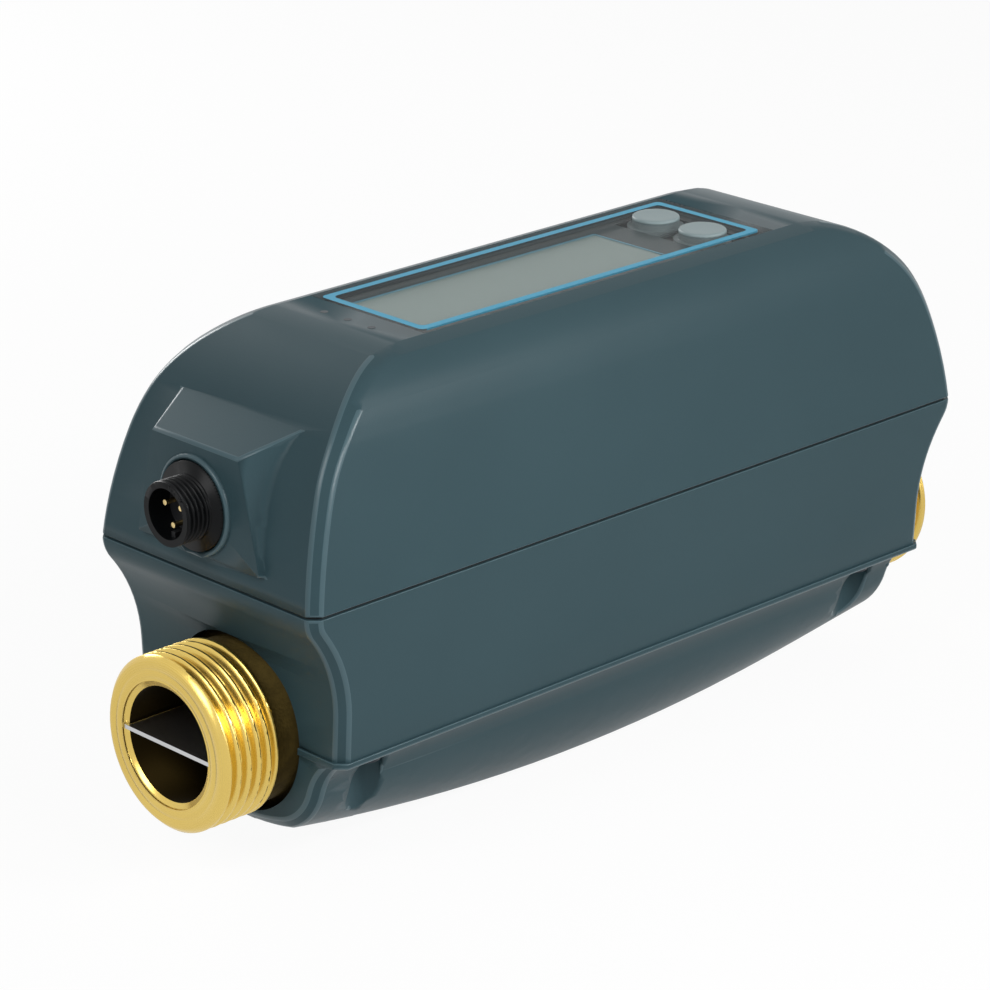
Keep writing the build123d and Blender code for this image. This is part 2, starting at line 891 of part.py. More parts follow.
def gear_outline(teeth, phase):
    """A spur gear's face with one tooth centred at the angle phase, in degrees."""
    pitch = gear_module * teeth / 2
    base = pitch * cos(radians(pressure_angle))
    tip = pitch + addendum_share * gear_module
    root = pitch - dedendum_share * gear_module
    half_tooth = (pi * gear_module / 2 - tooth_backlash) / 2 / pitch
    start = half_tooth + involute_point(base, pitch)
    flank_start = max(root, base)
    radii = [
        flank_start + (tip - flank_start) * step / flank_steps for step in range(flank_steps + 1)
    ]
    rising = [(radius, start - involute_point(base, radius)) for radius in radii]
    if root < base:
        rising = [(root, start)] + rising
    points = []
    for tooth in range(teeth):
        middle = radians(phase) + 2 * pi * tooth / teeth
        for radius, half in rising:
            points.append((radius * cos(middle - half), radius * sin(middle - half)))
        for radius, half in reversed(rising):
            points.append((radius * cos(middle + half), radius * sin(middle + half)))
    return make_face(Polyline(*points, close=True))


def gear_wheel(place, teeth, phase, layer):
    """A spur gear in one layer of the train."""
    bottom = layer_bottom(layer)
    return Pos(place[0], place[1], bottom) * extrude(
        gear_outline(teeth, phase), amount=gear_thickness
    )


def layer_bottom(layer):
    """The height of a gear layer's underside."""
    return first_gear_layer_z + layer * (gear_thickness + gear_layer_gap)


def space_phase(angle, teeth):
    """The phase that puts a space of a gear towards the given angle."""
    return angle + 180 / teeth


def step_from(place, angle, teeth_sum):
    """The next axle's place, at the meshing distance in the given direction."""
    reach = gear_module * teeth_sum / 2
    return (place[0] + reach * cos(radians(angle)), place[1] + reach * sin(radians(angle)))


output_place = (valve_x, 0)
second_place = step_from(output_place, second_axle_angle, output_teeth + small_teeth)
first_place = step_from(second_place, first_axle_angle, middle_teeth + small_teeth)
motor_place = step_from(first_place, motor_axle_angle, middle_teeth + small_teeth)
gear_room = gear_tip_room + addendum_share * gear_module
train_rooms = (
    (output_place, gear_module * output_teeth / 2 + gear_room),
    (second_place, gear_module * middle_teeth / 2 + gear_room),
    (first_place, gear_module * middle_teeth / 2 + gear_room),
    (motor_place, motor_end_room),
)
stem_ring_places = (first_stem_ring_z, first_stem_ring_z + stem_ring_spacing)
stem_groove_radius = stem_radius + running_clearance - 2 * stem_ring_radius
lug_reach = gearbox_lug_radius + gearbox_wall / 2
output_lug_offset = (train_rooms[0][1] + lug_reach - gearbox_wall / 2) / sqrt(2)
motor_lug_offset = (train_rooms[3][1] + lug_reach - gearbox_wall / 2) / sqrt(2)
gearbox_lug_places = (
    (valve_x + output_lug_offset, output_lug_offset),
    (valve_x + output_lug_offset, -output_lug_offset),
    (motor_place[0] - motor_lug_offset, motor_place[1] + motor_lug_offset),
    (motor_place[0] - motor_lug_offset, motor_place[1] - motor_lug_offset),
)


def four_corners(half_x, half_y):
    """Four places around the middle of the case."""
    return [
        (case_middle_x + i * half_x, j * half_y) for i in (-1, 1) for j in (-1, 1)
    ]


case_screw_places = four_corners(mid_half_length - case_screw_inset, case_screw_y)
cover_screw_places = four_corners(case_half_length - cover_screw_inset, cover_screw_y)
display_post_places = [
    (x, y)
    for x in (
        display_board_start_x + display_post_radius,
        display_board_end_x - display_post_radius,
    )
    for y in (-display_post_half_width, display_post_half_width)
]
main_board_end_x = motor_place[0] - motor_radius - main_board_motor_gap
main_post_places = [
    (x, y)
    for x in (main_board_start_x + main_post_inset, main_board_end_x - main_post_inset)
    for y in (main_post_inset - main_board_half_width, main_board_half_width - main_post_inset)
]
saddle_end_clear = pipe_seal_x + pipe_seal_width + wall
display_board_top = display_board_z + board_thickness
pipe_seal_places = (pipe_seal_x, pipe_length - pipe_seal_x - pipe_seal_width)
connector_flange_seat_x = connector_flange_front_x + connector_flange_thickness

# Gears of the train. A wheel that meshes twice is one moulding with two sets of teeth.


def make_output_gear():
    """The gear on the stem, with its hub and the journal that carries the position cam."""
    phase = second_axle_angle
    bottom = layer_bottom(0)
    wheel = gear_wheel(output_place, output_teeth, phase, 0)
    hub_top = bottom + gear_thickness + gear_layer_gap / 2
    hub = post(*output_place, bottom, hub_top, output_hub_radius)
    journal = post(*output_place, hub_top - pilot_gap, cam_z + cam_thickness, output_journal_radius)
    half = stem_square_size / 2 + running_clearance
    hole = Pos(valve_x, 0, 0) * block(
        (-half, -half, bottom - pilot_gap), (half, half, bottom + gear_thickness + running_clearance)
    )
    return wheel + hub + journal - hole


def compound_gear(place, wheel_phase, wheel_layer, pinion_phase, pinion_layer):
    """An intermediate gear: a large wheel and a small pinion on one hub, bored for its axle."""
    wheel = gear_wheel(place, middle_teeth, wheel_phase, wheel_layer)
    pinion = gear_wheel(place, small_teeth, pinion_phase, pinion_layer)
    hub_bottom = gearbox_base_z + gearbox_floor + running_clearance
    hub = post(*place, hub_bottom, gearbox_lid_z - running_clearance, gear_hub_radius)
    bore = post(*place, hub_bottom, gearbox_lid_z, gear_axle_radius + running_clearance)
    low_top = layer_bottom(pinion_layer) + gear_thickness
    web = post(*place, low_top, layer_bottom(wheel_layer), gear_hub_radius + pilot_gap)
    return wheel + pinion + hub + web - bore


def make_second_gear():
    """The gear between the output gear and the first gear."""
    pinion_phase = space_phase(second_axle_angle + 180, small_teeth)
    return compound_gear(second_place, first_axle_angle, 1, pinion_phase, 0)


def make_first_gear():
    """The gear that the motor pinion drives."""
    pinion_phase = space_phase(first_axle_angle + 180, small_teeth)
    return compound_gear(first_place, motor_axle_angle, 2, pinion_phase, 1)


def make_motor_pinion():
    """The pinion pressed on the motor's shaft."""
    phase = space_phase(motor_axle_angle + 180, small_teeth)
    pinion = gear_wheel(motor_place, small_teeth, phase, 2)
    bore = post(*motor_place, 0, lid_top, gear_axle_radius)
    return pinion - bore


def train_outline(room):
    """The gearbox's plan: a hull around the room that each wheel needs."""
    circles = [
        Pos(place[0], place[1], 0) * Edge.make_circle(radius + room)
        for place, radius in train_rooms
    ]
    return make_hull(circles)


def lug_columns(bottom, top, radius):
    """Upright cylinders at the gearbox's four screw places."""
    return fused([post(x, y, bottom, top, radius) for x, y in gearbox_lug_places])


def make_gearbox_base():
    """The open gearbox tray with its lugs, axle sockets and the hole for the valve neck."""
    plan = train_outline(gearbox_wall)
    height = gearbox_lid_z - gearbox_base_z
    room = gearbox_base_z + gearbox_floor
    base = Pos(0, 0, gearbox_base_z) * extrude(plan, amount=height)
    base = base + lug_columns(gearbox_base_z, gearbox_lid_z, gearbox_lug_radius)
    base = base - Pos(0, 0, room) * extrude(train_outline(0), amount=height)
    base = base - lug_columns(gearbox_base_z, gearbox_lid_z, gearbox_screw_radius + loose_clearance)
    neck_hole = hypot(gland_hex_size / 2, gland_hex_size / 2 * tan(pi / 6)) + neck_hole_room
    base = base - post(valve_x, 0, gearbox_base_z, gearbox_lid_z, neck_hole)
    for x, y in axle_places:
        base = base - post(x, y, axle_bottom, gearbox_lid_z, gear_axle_radius)
    return base


def make_gearbox_lid():
    """The lid that carries the motor and the upper ends of the axles."""
    plan = train_outline(gearbox_wall)
    lid = Pos(0, 0, gearbox_lid_z) * extrude(plan, amount=gearbox_lid_thickness)
    lid = lid + lug_columns(gearbox_lid_z, lid_top, gearbox_lug_radius)
    lid = lid - lug_columns(gearbox_lid_z, lid_top, gearbox_screw_radius + loose_clearance)
    lid = lid - post(valve_x, 0, gearbox_lid_z, lid_top, output_journal_radius + running_clearance)
    lid = lid - post(*motor_place, gearbox_lid_z, lid_top, motor_pilot_radius + running_clearance)
    for x, y in axle_places:
        lid = lid - post(x, y, gearbox_lid_z, axle_top, gear_axle_radius)
    return lid


def make_gear_axles():
    """The two steel pins that the intermediate gears turn on."""
    return fused([post(x, y, axle_bottom, axle_top, gear_axle_radius) for x, y in axle_places])


def make_gearbox_screws():
    """The four screws through the gearbox into the deck."""
    screws = [
        screw(x, y, lid_top, gearbox_screw_length, gearbox_screw_radius, screw_head_radius, False)
        for x, y in gearbox_lug_places
    ]
    return fused(screws)


def make_gear_motor():
    """The motor can with its pilot, end boss and two terminals, bored for its shaft."""
    x, y = motor_place
    can = post(x, y, lid_top, motor_top, motor_radius)
    can = can + post(x, y, gearbox_lid_z, lid_top, motor_pilot_radius)
    can = can + post(x, y, motor_top, motor_top + motor_end_boss_height, motor_end_boss_radius)
    reach = (motor_radius + motor_end_boss_radius) / 2
    half = motor_terminal_size / 2
    for side in (-1, 1):
        can = can + block(
            (x - half, y + side * reach - half, motor_top - pilot_gap),
            (x + half, y + side * reach + half, motor_top + motor_terminal_size),
        )
    return can - post(x, y, gearbox_lid_z, motor_shaft_top, gear_axle_radius + running_clearance)


def make_motor_shaft():
    """The motor's shaft, from inside the can down through the pinion."""
    return post(*motor_place, layer_bottom(2), motor_shaft_top, gear_axle_radius)


def make_position_cam():
    """The cam on the output journal that tells the two switches where the ball stands."""
    disc = post(valve_x, 0, cam_z, cam_z + cam_thickness, cam_radius)
    lobe_y = cam_lobe_reach - cam_lobe_radius
    lobe = post(valve_x, lobe_y, cam_z, cam_z + cam_thickness, cam_lobe_radius)
    neck = block(
        (valve_x - cam_lobe_radius, 0, cam_z),
        (valve_x + cam_lobe_radius, lobe_y, cam_z + cam_thickness),
    )
    return disc + lobe + neck - post(valve_x, 0, cam_z, cam_z + cam_thickness, output_journal_radius)


def make_limit_switches():
    """Two small switches on the lid, a quarter turn apart around the cam."""
    near = cam_lobe_reach + switch_gap + switch_button_length
    half = switch_length / 2
    body = block((-half, near, lid_top), (half, near + switch_width, lid_top + switch_height))
    button = Pos(0, near, cam_z + cam_thickness / 2) * Rot(90, 0, 0) * Cylinder(
        switch_button_radius,
        switch_button_length,
        align=(Align.CENTER, Align.CENTER, Align.MIN),
    )
    one = body + button
    return fused([Pos(valve_x, 0, 0) * Rot(0, 0, turn) * one for turn in (0, 90)])


# Small pieces of the pipe


def make_divider_plate():
    """The steel plate across the inlet bore, sitting in its two slots."""
    half = mouth_radius + plate_slot_depth - pilot_gap
    height = plate_thickness / 2 - pilot_gap
    return block((plate_setback, -half, -height), (plate_setback + plate_length, half, height))


def make_transducers():
    """The two ultrasonic transducers: a barrel with a ring groove under a flange."""
    places = []
    flange_bottom = boss_top - transducer_flange_height
    groove_top = bore_radius + seal_height_above_bore + seal_wire_radius
    groove_bottom = groove_top - 2 * seal_wire_radius
    inner = transducer_radius + running_clearance - 2 * seal_wire_radius
    for x in transducer_places:
        barrel = post(x, 0, bore_radius, boss_top, transducer_radius)
        flange = post(x, 0, flange_bottom, boss_top, transducer_flange_radius)
        groove = post(x, 0, groove_bottom, groove_top, transducer_flange_radius)
        groove = groove - post(x, 0, groove_bottom, groove_top, inner)
        tail = post(x, 0, boss_top, boss_top + clamp_thickness, clamp_hole_radius - loose_clearance)
        places.append(barrel + flange - groove + tail)
    return fused(places)


def make_transducer_seals():
    """The sealing rings in the transducers' grooves."""
    middle = transducer_radius + running_clearance - seal_wire_radius
    height = bore_radius + seal_height_above_bore
    return fused([upright_ring(x, 0, height, middle, seal_wire_radius) for x in transducer_places])


def make_transducer_clamps():
    """The plates that hold the transducers down."""
    clamps = []
    for x in transducer_places:
        plan = SlotOverall(clamp_length, clamp_width) - Circle(clamp_hole_radius)
        for side in (-1, 1):
            hole = Circle(clamp_screw_radius + loose_clearance)
            plan = plan - Pos(side * clamp_screw_offset, 0) * hole
        clamps.append(Pos(x, 0, boss_top) * extrude(plan, amount=clamp_thickness))
    return fused(clamps)


def make_clamp_screws():
    """The four screws of the two clamps."""
    seat = boss_top + clamp_thickness
    screws = []
    for x in transducer_places:
        for side in (-1, 1):
            place = x + side * clamp_screw_offset
            screws.append(
                screw(
                    place,
                    0,
                    seat,
                    clamp_screw_length,
                    clamp_screw_radius,
                    screw_head_radius,
                    False,
                )
            )
    return fused(screws)


def make_flow_mirrors():
    """Two steel posts with polished faces at 45 degrees that turn the sound along the tube."""
    mirrors = []
    for x, lean in zip(transducer_places, (-45, 45)):
        stud = post(x, 0, -tube_radius - mirror_rise, mirror_rise + mirror_radius, mirror_radius)
        cutter = block((-outer_bound, -outer_bound, 0), (outer_bound, outer_bound, outer_bound))
        mirrors.append(stud - Pos(x, 0, mirror_rise - mirror_radius) * Rot(0, lean, 0) * cutter)
    return fused(mirrors)


def make_stem_rings():
    """The two sealing rings on the stem."""
    middle = stem_groove_radius + stem_ring_radius
    rings = [
        upright_ring(valve_x, 0, z, middle - ring_ease, stem_ring_radius - ring_ease)
        for z in stem_ring_places
    ]
    return fused(rings)


def make_gland_nut():
    """The nut that closes the stem's neck."""
    barrel = post(valve_x, 0, gland_pocket_floor, neck_top, gland_pocket_radius - pilot_gap)
    head = Pos(valve_x, 0, neck_top) * extrude(hexagon(gland_hex_size), amount=gland_hex_height)
    hole = post(valve_x, 0, 0, outer_bound, stem_radius + running_clearance)
    return barrel + head - hole


def make_pipe_seals():
    """The rubber rings between the pipe's collars and the case."""
    seals = []
    for x in pipe_seal_places:
        outer = rod(x, x + pipe_seal_width, collar_radius + pipe_seal_height)
        seals.append(outer - rod(x, x + pipe_seal_width, collar_radius))
    return fused(seals)


# Connector


def make_connector_shell():
    """The round connector's metal shell: threaded nose, flange and threaded tail."""
    tail_end = connector_seat_x + connector_tail
    shell = rod(connector_front_x, tail_end, connector_radius, z=connector_z)
    shell = shell + rod(
        connector_flange_front_x, connector_flange_seat_x, connector_flange_radius, z=connector_z
    )
    return shell - rod(connector_front_x, tail_end, connector_bore_radius, z=connector_z)


def make_connector_insert():
    """The plastic insert that carries the pins, with a keyway ridge in the socket."""
    tail_end = connector_seat_x + connector_tail
    body = rod(insert_face_x, tail_end, connector_bore_radius, z=connector_z)
    key_half = pin_radius
    ridge = block(
        (connector_front_x + pin_recess, -key_half, connector_z - connector_bore_radius),
        (insert_face_x, key_half, connector_z - connector_bore_radius + 2 * key_half),
    )
    ridge = ridge & rod(0, tail_end, connector_bore_radius, z=connector_z)
    body = body + ridge
    for y, z in connector_pin_places:
        body = body - rod(insert_face_x, tail_end, pin_radius, y=y, z=z)
    return body


def make_connector_pins():
    """The three contact pins, which run through the insert and stand out behind it."""
    start = connector_front_x + pin_recess
    end = connector_seat_x + connector_tail + 2 * pin_recess
    return fused([rod(start, end, pin_radius, y=y, z=z) for y, z in connector_pin_places])


def make_connector_nut():
    """The hexagon nut behind the cover's wall."""
    nut = extrude(hexagon(connector_nut_size), amount=connector_nut_thickness)
    nut = Pos(connector_seat_x, 0, connector_z) * Rot(0, 90, 0) * nut
    return nut - rod(connector_seat_x, 2 * connector_seat_x, connector_radius, z=connector_z)


def make_connector_ring():
    """The sealing ring between the connector's flange and the pad."""
    ring = Torus(connector_ring_radius, connector_ring_wire)
    return Pos(connector_flange_seat_x + connector_ring_wire, 0, connector_z) * Rot(0, 90, 0) * ring


# Window, display and keys


def rounded_plate(start, end, half_width, corner, bottom, top):
    """A level plate with rounded corners, centred across the case."""
    plan = RectangleRounded(end - start, 2 * half_width, corner)
    return Pos((start + end) / 2, 0, bottom) * extrude(plan, amount=top - bottom)


def trim_plate(room, bottom, top):
    """The window trim's frame, grown by some room for its groove."""
    outer = rounded_plate(
        trim_start_x - room, trim_end_x + room, trim_half_width + room, trim_corner, bottom, top
    )
    inner = rounded_plate(
        trim_start_x + trim_width + room,
        trim_end_x - trim_width - room,
        trim_half_width - trim_width - room,
        trim_corner,
        bottom,
        top,
    )
    return outer - inner


def make_window():
    """The dark window glass with the trim's groove and the two key holes."""
    glass = block(
        (window_start_x, -window_half_width, window_bottom),
        (window_end_x, window_half_width, cover_top),
    )
    glass = glass - trim_plate(0, cover_top - trim_thickness, cover_top + overrun)
    for y in (-key_y, key_y):
        glass = glass - post(key_x, y, window_bottom, cover_top, key_radius + key_hole_clearance)
    return glass


def make_key(y):
    """A round key: cap, flange under the glass and a stem towards its switch."""
    cap = post(key_x, y, key_flange_top, cover_top + key_proud, key_radius)
    flange_bottom = key_flange_top - key_flange_thickness
    flange = post(key_x, y, flange_bottom, key_flange_top, key_flange_radius)
    stem = post(key_x, y, plunger_top, flange_bottom, key_stem_radius)
    return cap + flange + stem


def make_plunger(y):
    """The moving button of a key's switch."""
    return post(key_x, y, plunger_top - plunger_length, plunger_top, plunger_radius)


def make_key_switches():
    """The two key switches, each with the well that its plunger moves in."""
    switches = []
    half = key_switch_size / 2
    for y in (-key_y, key_y):
        body = block(
            (key_x - half, y - half, display_board_top),
            (key_x + half, y + half, display_board_top + key_switch_height),
        )
        well_bottom = display_board_top + key_switch_height - key_switch_well
        well = post(key_x, y, well_bottom, cover_top, plunger_radius + pilot_gap)
        switches.append(body - well)
    return fused(switches)


def make_lcd():
    """The liquid crystal display under the glass."""
    top = window_bottom - lcd_below_window
    return block(
        (lcd_start_x, -lcd_half_width, top - lcd_thickness), (lcd_end_x, lcd_half_width, top)
    )


def make_lcd_holder():
    """The frame that holds the display above its board."""
    top = window_bottom - lcd_below_window - lcd_thickness / 2
    grow = lcd_frame_width
    outer = block(
        (lcd_start_x - grow, -lcd_half_width - grow, display_board_top),
        (lcd_end_x + grow, lcd_half_width + grow, top),
    )
    seat = block(
        (
            lcd_start_x - pilot_gap,
            -lcd_half_width - pilot_gap,
            window_bottom - lcd_below_window - lcd_thickness,
        ),
        (lcd_end_x + pilot_gap, lcd_half_width + pilot_gap, top),
    )
    well = block(
        (lcd_start_x + grow, grow - lcd_half_width, display_board_top),
        (lcd_end_x - grow, lcd_half_width - grow, top),
    )
    return outer - seat - well


def board(start, end, half_width, bottom, places):
    """A circuit board with its screw holes."""
    plate = block((start, -half_width, bottom), (end, half_width, bottom + board_thickness))
    for x, y in places:
        plate = plate - post(x, y, bottom, outer_bound, board_screw_radius + loose_clearance)
    return plate


def make_display_board():
    """The board under the window."""
    return board(
        display_board_start_x,
        display_board_end_x,
        display_board_half_width,
        display_board_z,
        display_post_places,
    )


def make_main_board():
    """The board above the batteries."""
    return board(
        main_board_start_x,
        main_board_end_x,
        main_board_half_width,
        main_board_z,
        main_post_places,
    )


def make_board_parts():
    """The larger parts soldered on the main board."""
    top = main_board_z + board_thickness
    chip_x = main_board_end_x - radio_length
    chip = block(
        (chip_x, -chip_size / 2, top), (chip_x + chip_size, chip_size / 2, top + chip_height)
    )
    pieces = [chip]
    for y in (-chip_size, chip_size):
        pieces.append(
            post(chip_x - 2 * capacitor_radius, y, top, top + capacitor_height, capacitor_radius)
        )
    return fused(pieces)


def make_radio_module():
    """The screened radio module on the main board, with its small antenna ridge."""
    top = main_board_z + board_thickness
    start = main_board_start_x + 2 * main_post_inset
    can = block(
        (start, -radio_width / 2, top),
        (start + radio_length, radio_width / 2, top + radio_height),
    )
    tail = block(
        (start + radio_length, -radio_width / 2, top),
        (start + radio_length + chip_size / 2, radio_width / 2, top + chip_height / 2),
    )
    return can + tail


def make_board_screws():
    """The screws of both boards: four from above, four from below."""
    main_seat = main_board_z + board_thickness
    screws = [
        screw(x, y, main_seat, board_screw_length, board_screw_radius, board_head_radius, False)
        for x, y in main_post_places
    ]
    screws += [
        screw(
            x, y, display_board_z, board_screw_length, board_screw_radius, board_head_radius, True
        )
        for x, y in display_post_places
    ]
    return fused(screws)


# Batteries


def make_battery_cells():
    """Two lithium cells side by side."""
    cells = []
    end = cell_start_x + cell_length
    for y in (-cell_spacing / 2, cell_spacing / 2):
        can = rod(cell_start_x, end, cell_radius, y=y, z=cell_z)
        nub = rod(end, end + cell_nub_length, cell_nub_radius, y=y, z=cell_z)
        cells.append(can + nub)
    return fused(cells)


def make_battery_tray():
    """The tray under the cells: floor, end walls and two cradles."""
    start = cell_start_x - contact_thickness - tray_wall
    end = cell_start_x + cell_length + cell_nub_length + contact_thickness + tray_wall
    half = cell_spacing / 2 + cell_radius
    low = deck_top
    tray = block((start, -half, low), (end, half, low + tray_floor))
    wall_top = cell_z + cell_nub_radius
    tray = tray + block((start, -half, low), (start + tray_wall, half, wall_top))
    tray = tray + block((end - tray_wall, -half, low), (end, half, wall_top))
    for share in cradle_shares:
        x = cell_start_x + share * cell_length - cradle_thickness / 2
        tray = tray + block((x, -half, low), (x + cradle_thickness, half, low + cradle_height))
    for y in (-cell_spacing / 2, cell_spacing / 2):
        tray = tray - rod(
            cell_start_x, cell_start_x + cell_length, cell_radius + pilot_gap, y=y, z=cell_z
        )
    return tray


def make_battery_contacts():
    """The spring strips at both ends of the cells."""
    half = cell_spacing / 2 + cell_nub_radius
    low = deck_top + tray_floor
    top = cell_z + cell_nub_radius
    rear = cell_start_x + cell_length + cell_nub_length
    strips = [
        block((cell_start_x - contact_thickness, -half, low), (cell_start_x, half, top)),
        block((rear, -half, low), (rear + contact_thickness, half, top)),
    ]
    return fused(strips)


# Screws of the case


def make_case_screws():
    """The four screws that hold the bottom cover to the middle shell."""
    return fused(
        [
            screw(
                x,
                y,
                -pocket_depth,
                case_screw_length,
                case_screw_radius,
                case_screw_head_radius,
                True,
            )
            for x, y in case_screw_places
        ]
    )


def make_cover_screws():
    """The four screws that hold the upper cover from below the deck."""
    return fused(
        [
            screw(
                x,
                y,
                deck_z,
                cover_screw_length,
                cover_screw_radius,
                case_screw_head_radius,
                True,
            )
            for x, y in cover_screw_places
        ]
    )


cam_z = lid_top + cam_gap
axle_places = (second_place, first_place)
axle_bottom = gearbox_base_z + gearbox_floor / 2
axle_top = gearbox_lid_z + gearbox_lid_thickness / 2
gearbox_screw_length = lid_top - deck_z + pilot_gap
motor_top = lid_top + motor_length
motor_shaft_top = lid_top + motor_length / 2
key_flange_top = window_bottom - key_rest_gap
plunger_top = display_board_top + key_switch_height + key_travel + key_rest_gap
cell_z = deck_top + tray_floor + cell_radius + pilot_gap
cradle_shares = (0.25, 0.75)
connector_pin_places = [
    (
        pin_circle_radius * cos(radians(angle)),
        connector_z + pin_circle_radius * sin(radians(angle)),
    )
    for angle in connector_pin_angles
]

# Build

makers = {
    "upper_cover": make_upper_cover,
    "mid_case": make_mid_case,
    "bottom_cover": make_bottom_cover,
    "pipe_body": make_pipe_body,
    "outlet_adapter": make_outlet_adapter,
    "divider_plate": make_divider_plate,
    "pipe_seals": make_pipe_seals,
    "transducers": make_transducers,
    "transducer_seals": make_transducer_seals,
    "transducer_clamps": make_transducer_clamps,
    "clamp_screws": make_clamp_screws,
    "flow_mirrors": make_flow_mirrors,
    "valve_ball": make_ball,
    "valve_stem": make_stem,
    "stem_rings": make_stem_rings,
    "gland_nut": make_gland_nut,
    "output_gear": make_output_gear,
    "second_gear": make_second_gear,
    "first_gear": make_first_gear,
    "motor_pinion": make_motor_pinion,
    "motor_shaft": make_motor_shaft,
    "gear_motor": make_gear_motor,
    "gear_axles": make_gear_axles,
    "gearbox_base": make_gearbox_base,
    "gearbox_lid": make_gearbox_lid,
    "gearbox_screws": make_gearbox_screws,
    "position_cam": make_position_cam,
    "limit_switches": make_limit_switches,
    "connector_shell": make_connector_shell,
    "connector_insert": make_connector_insert,
    "connector_pins": make_connector_pins,
    "connector_nut": make_connector_nut,
    "connector_ring": make_connector_ring,
    "window_glass": make_window,
    "lcd_panel": make_lcd,
    "lcd_holder": make_lcd_holder,
    "key_switches": make_key_switches,
    "display_board": make_display_board,
    "main_board": make_main_board,
    "board_parts": make_board_parts,
    "radio_module": make_radio_module,
    "board_screws": make_board_screws,
    "battery_cells": make_battery_cells,
    "battery_tray": make_battery_tray,
    "battery_contacts": make_battery_contacts,
    "case_screws": make_case_screws,
    "cover_screws": make_cover_screws,
}
for name, maker in makers.items():
    keep(name, maker())
keep("ball_seats", fused(make_seats()))
keep("cover_gasket", make_gasket())
keep("window_trim", trim_plate(0, cover_top - trim_thickness, cover_top))
for name, y in (("near", -key_y), ("far", key_y)):
    keep(f"{name}_key", make_key(y))
    keep(f"{name}_key_plunger", make_plunger(y))

os.makedirs("parts", exist_ok=True)
for name, solid in parts.items():
    export_step(solid, f"parts/{name}.step")
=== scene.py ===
"""The finished look of a smart water valve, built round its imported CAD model.

The row frame has its origin at the centre of the inlet face, +X along the pipe in the direction
of flow and +Z up. All sizes are in metres.
"""

import json
import logging
from dataclasses import dataclass, field
from enum import Enum
from math import cos, hypot, pi, radians, sin
from typing import Any, Callable

import bmesh
import bpy
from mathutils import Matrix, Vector
from mathutils.bvhtree import BVHTree
from mathutils.geometry import intersect_point_line


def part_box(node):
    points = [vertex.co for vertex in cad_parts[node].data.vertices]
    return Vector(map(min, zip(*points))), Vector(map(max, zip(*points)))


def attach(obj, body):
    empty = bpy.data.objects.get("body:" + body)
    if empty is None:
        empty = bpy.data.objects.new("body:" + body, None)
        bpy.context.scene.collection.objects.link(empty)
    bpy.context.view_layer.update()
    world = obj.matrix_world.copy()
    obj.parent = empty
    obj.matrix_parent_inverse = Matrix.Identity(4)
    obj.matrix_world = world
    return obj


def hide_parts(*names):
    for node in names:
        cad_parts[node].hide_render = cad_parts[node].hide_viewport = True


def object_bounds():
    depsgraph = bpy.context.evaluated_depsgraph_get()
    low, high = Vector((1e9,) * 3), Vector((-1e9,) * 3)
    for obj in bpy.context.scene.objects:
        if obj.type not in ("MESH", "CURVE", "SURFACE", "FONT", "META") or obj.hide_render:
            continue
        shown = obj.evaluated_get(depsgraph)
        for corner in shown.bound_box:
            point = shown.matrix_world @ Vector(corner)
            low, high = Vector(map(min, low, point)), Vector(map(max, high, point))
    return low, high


MM = 0.001
WELD = 1e-6
SMOOTH_ANGLE = radians(30)

Colour = tuple[float, float, float]
Profile = list[tuple[float, float]]

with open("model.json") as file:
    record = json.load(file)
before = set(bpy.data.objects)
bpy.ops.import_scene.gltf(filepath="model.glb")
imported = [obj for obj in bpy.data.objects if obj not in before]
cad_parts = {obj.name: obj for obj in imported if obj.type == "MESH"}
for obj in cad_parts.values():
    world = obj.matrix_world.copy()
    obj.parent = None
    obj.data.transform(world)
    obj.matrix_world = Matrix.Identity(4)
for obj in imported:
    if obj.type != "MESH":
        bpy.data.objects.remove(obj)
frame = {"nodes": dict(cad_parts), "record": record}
cad_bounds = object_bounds()
log = logging.getLogger("water_valve")


def linear(red: int, green: int, blue: int) -> Colour:
    """A colour as the renderer wants it, from the 0 to 255 values a screen shows.

    Args:
        red: the red value.
        green: the green value.
        blue: the blue value.

    Returns:
        The same colour in linear light.
    """
    low_limit, low_slope, offset, power, full = 0.04045, 12.92, 0.055, 2.4, 255
    channels = []
    for value in (red, green, blue):
        share = value / full
        if share <= low_limit:
            channels.append(share / low_slope)
        else:
            channels.append(((share + offset) / (1 + offset)) ** power)
    return (channels[0], channels[1], channels[2])


# Node trees


class Tree:
    """A node tree with short calls for adding nodes and links."""

    def __init__(self, tree: bpy.types.NodeTree) -> None:
        """Wraps an empty or existing tree."""
        self.tree = tree

    def add(self, kind: str, settings: dict[str, Any] | None = None, **inputs: Any) -> Any:
        """Adds a node.

        Args:
            kind: the node's type name.
            settings: attributes of the node, such as its operation.
            inputs: values or sockets for its inputs, with underscores for spaces, or i0, i1
                and so on for an input by its number.

        Returns:
            The new node.
        """
        node = self.tree.nodes.new(kind)
        for key, value in (settings or {}).items():
            setattr(node, key, value)
        for key, value in inputs.items():
            by_number = key[0] == "i" and key[1:].isdigit()
            socket = node.inputs[int(key[1:])] if by_number else node.inputs[key.replace("_", " ")]
            if isinstance(value, bpy.types.NodeSocket):
                self.tree.links.new(value, socket)
            else:
                socket.default_value = value
        return node

    def math(self, operation: str, first: Any, second: Any = 0.0, third: Any = 0.0) -> Any:
        """One sum on numbers or sockets.

        Args:
            operation: the math node's operation.
            first: the first number or socket.
            second: the second.
            third: the third.

        Returns:
            The result's socket.
        """
        kind = "ShaderNodeMath"
        node = self.add(kind, {"operation": operation}, i0=first, i1=second, i2=third)
        return node.outputs[0]

    def link(self, source: Any, target: Any) -> None:
        """Joins an output socket to an input socket."""
        self.tree.links.new(source, target)


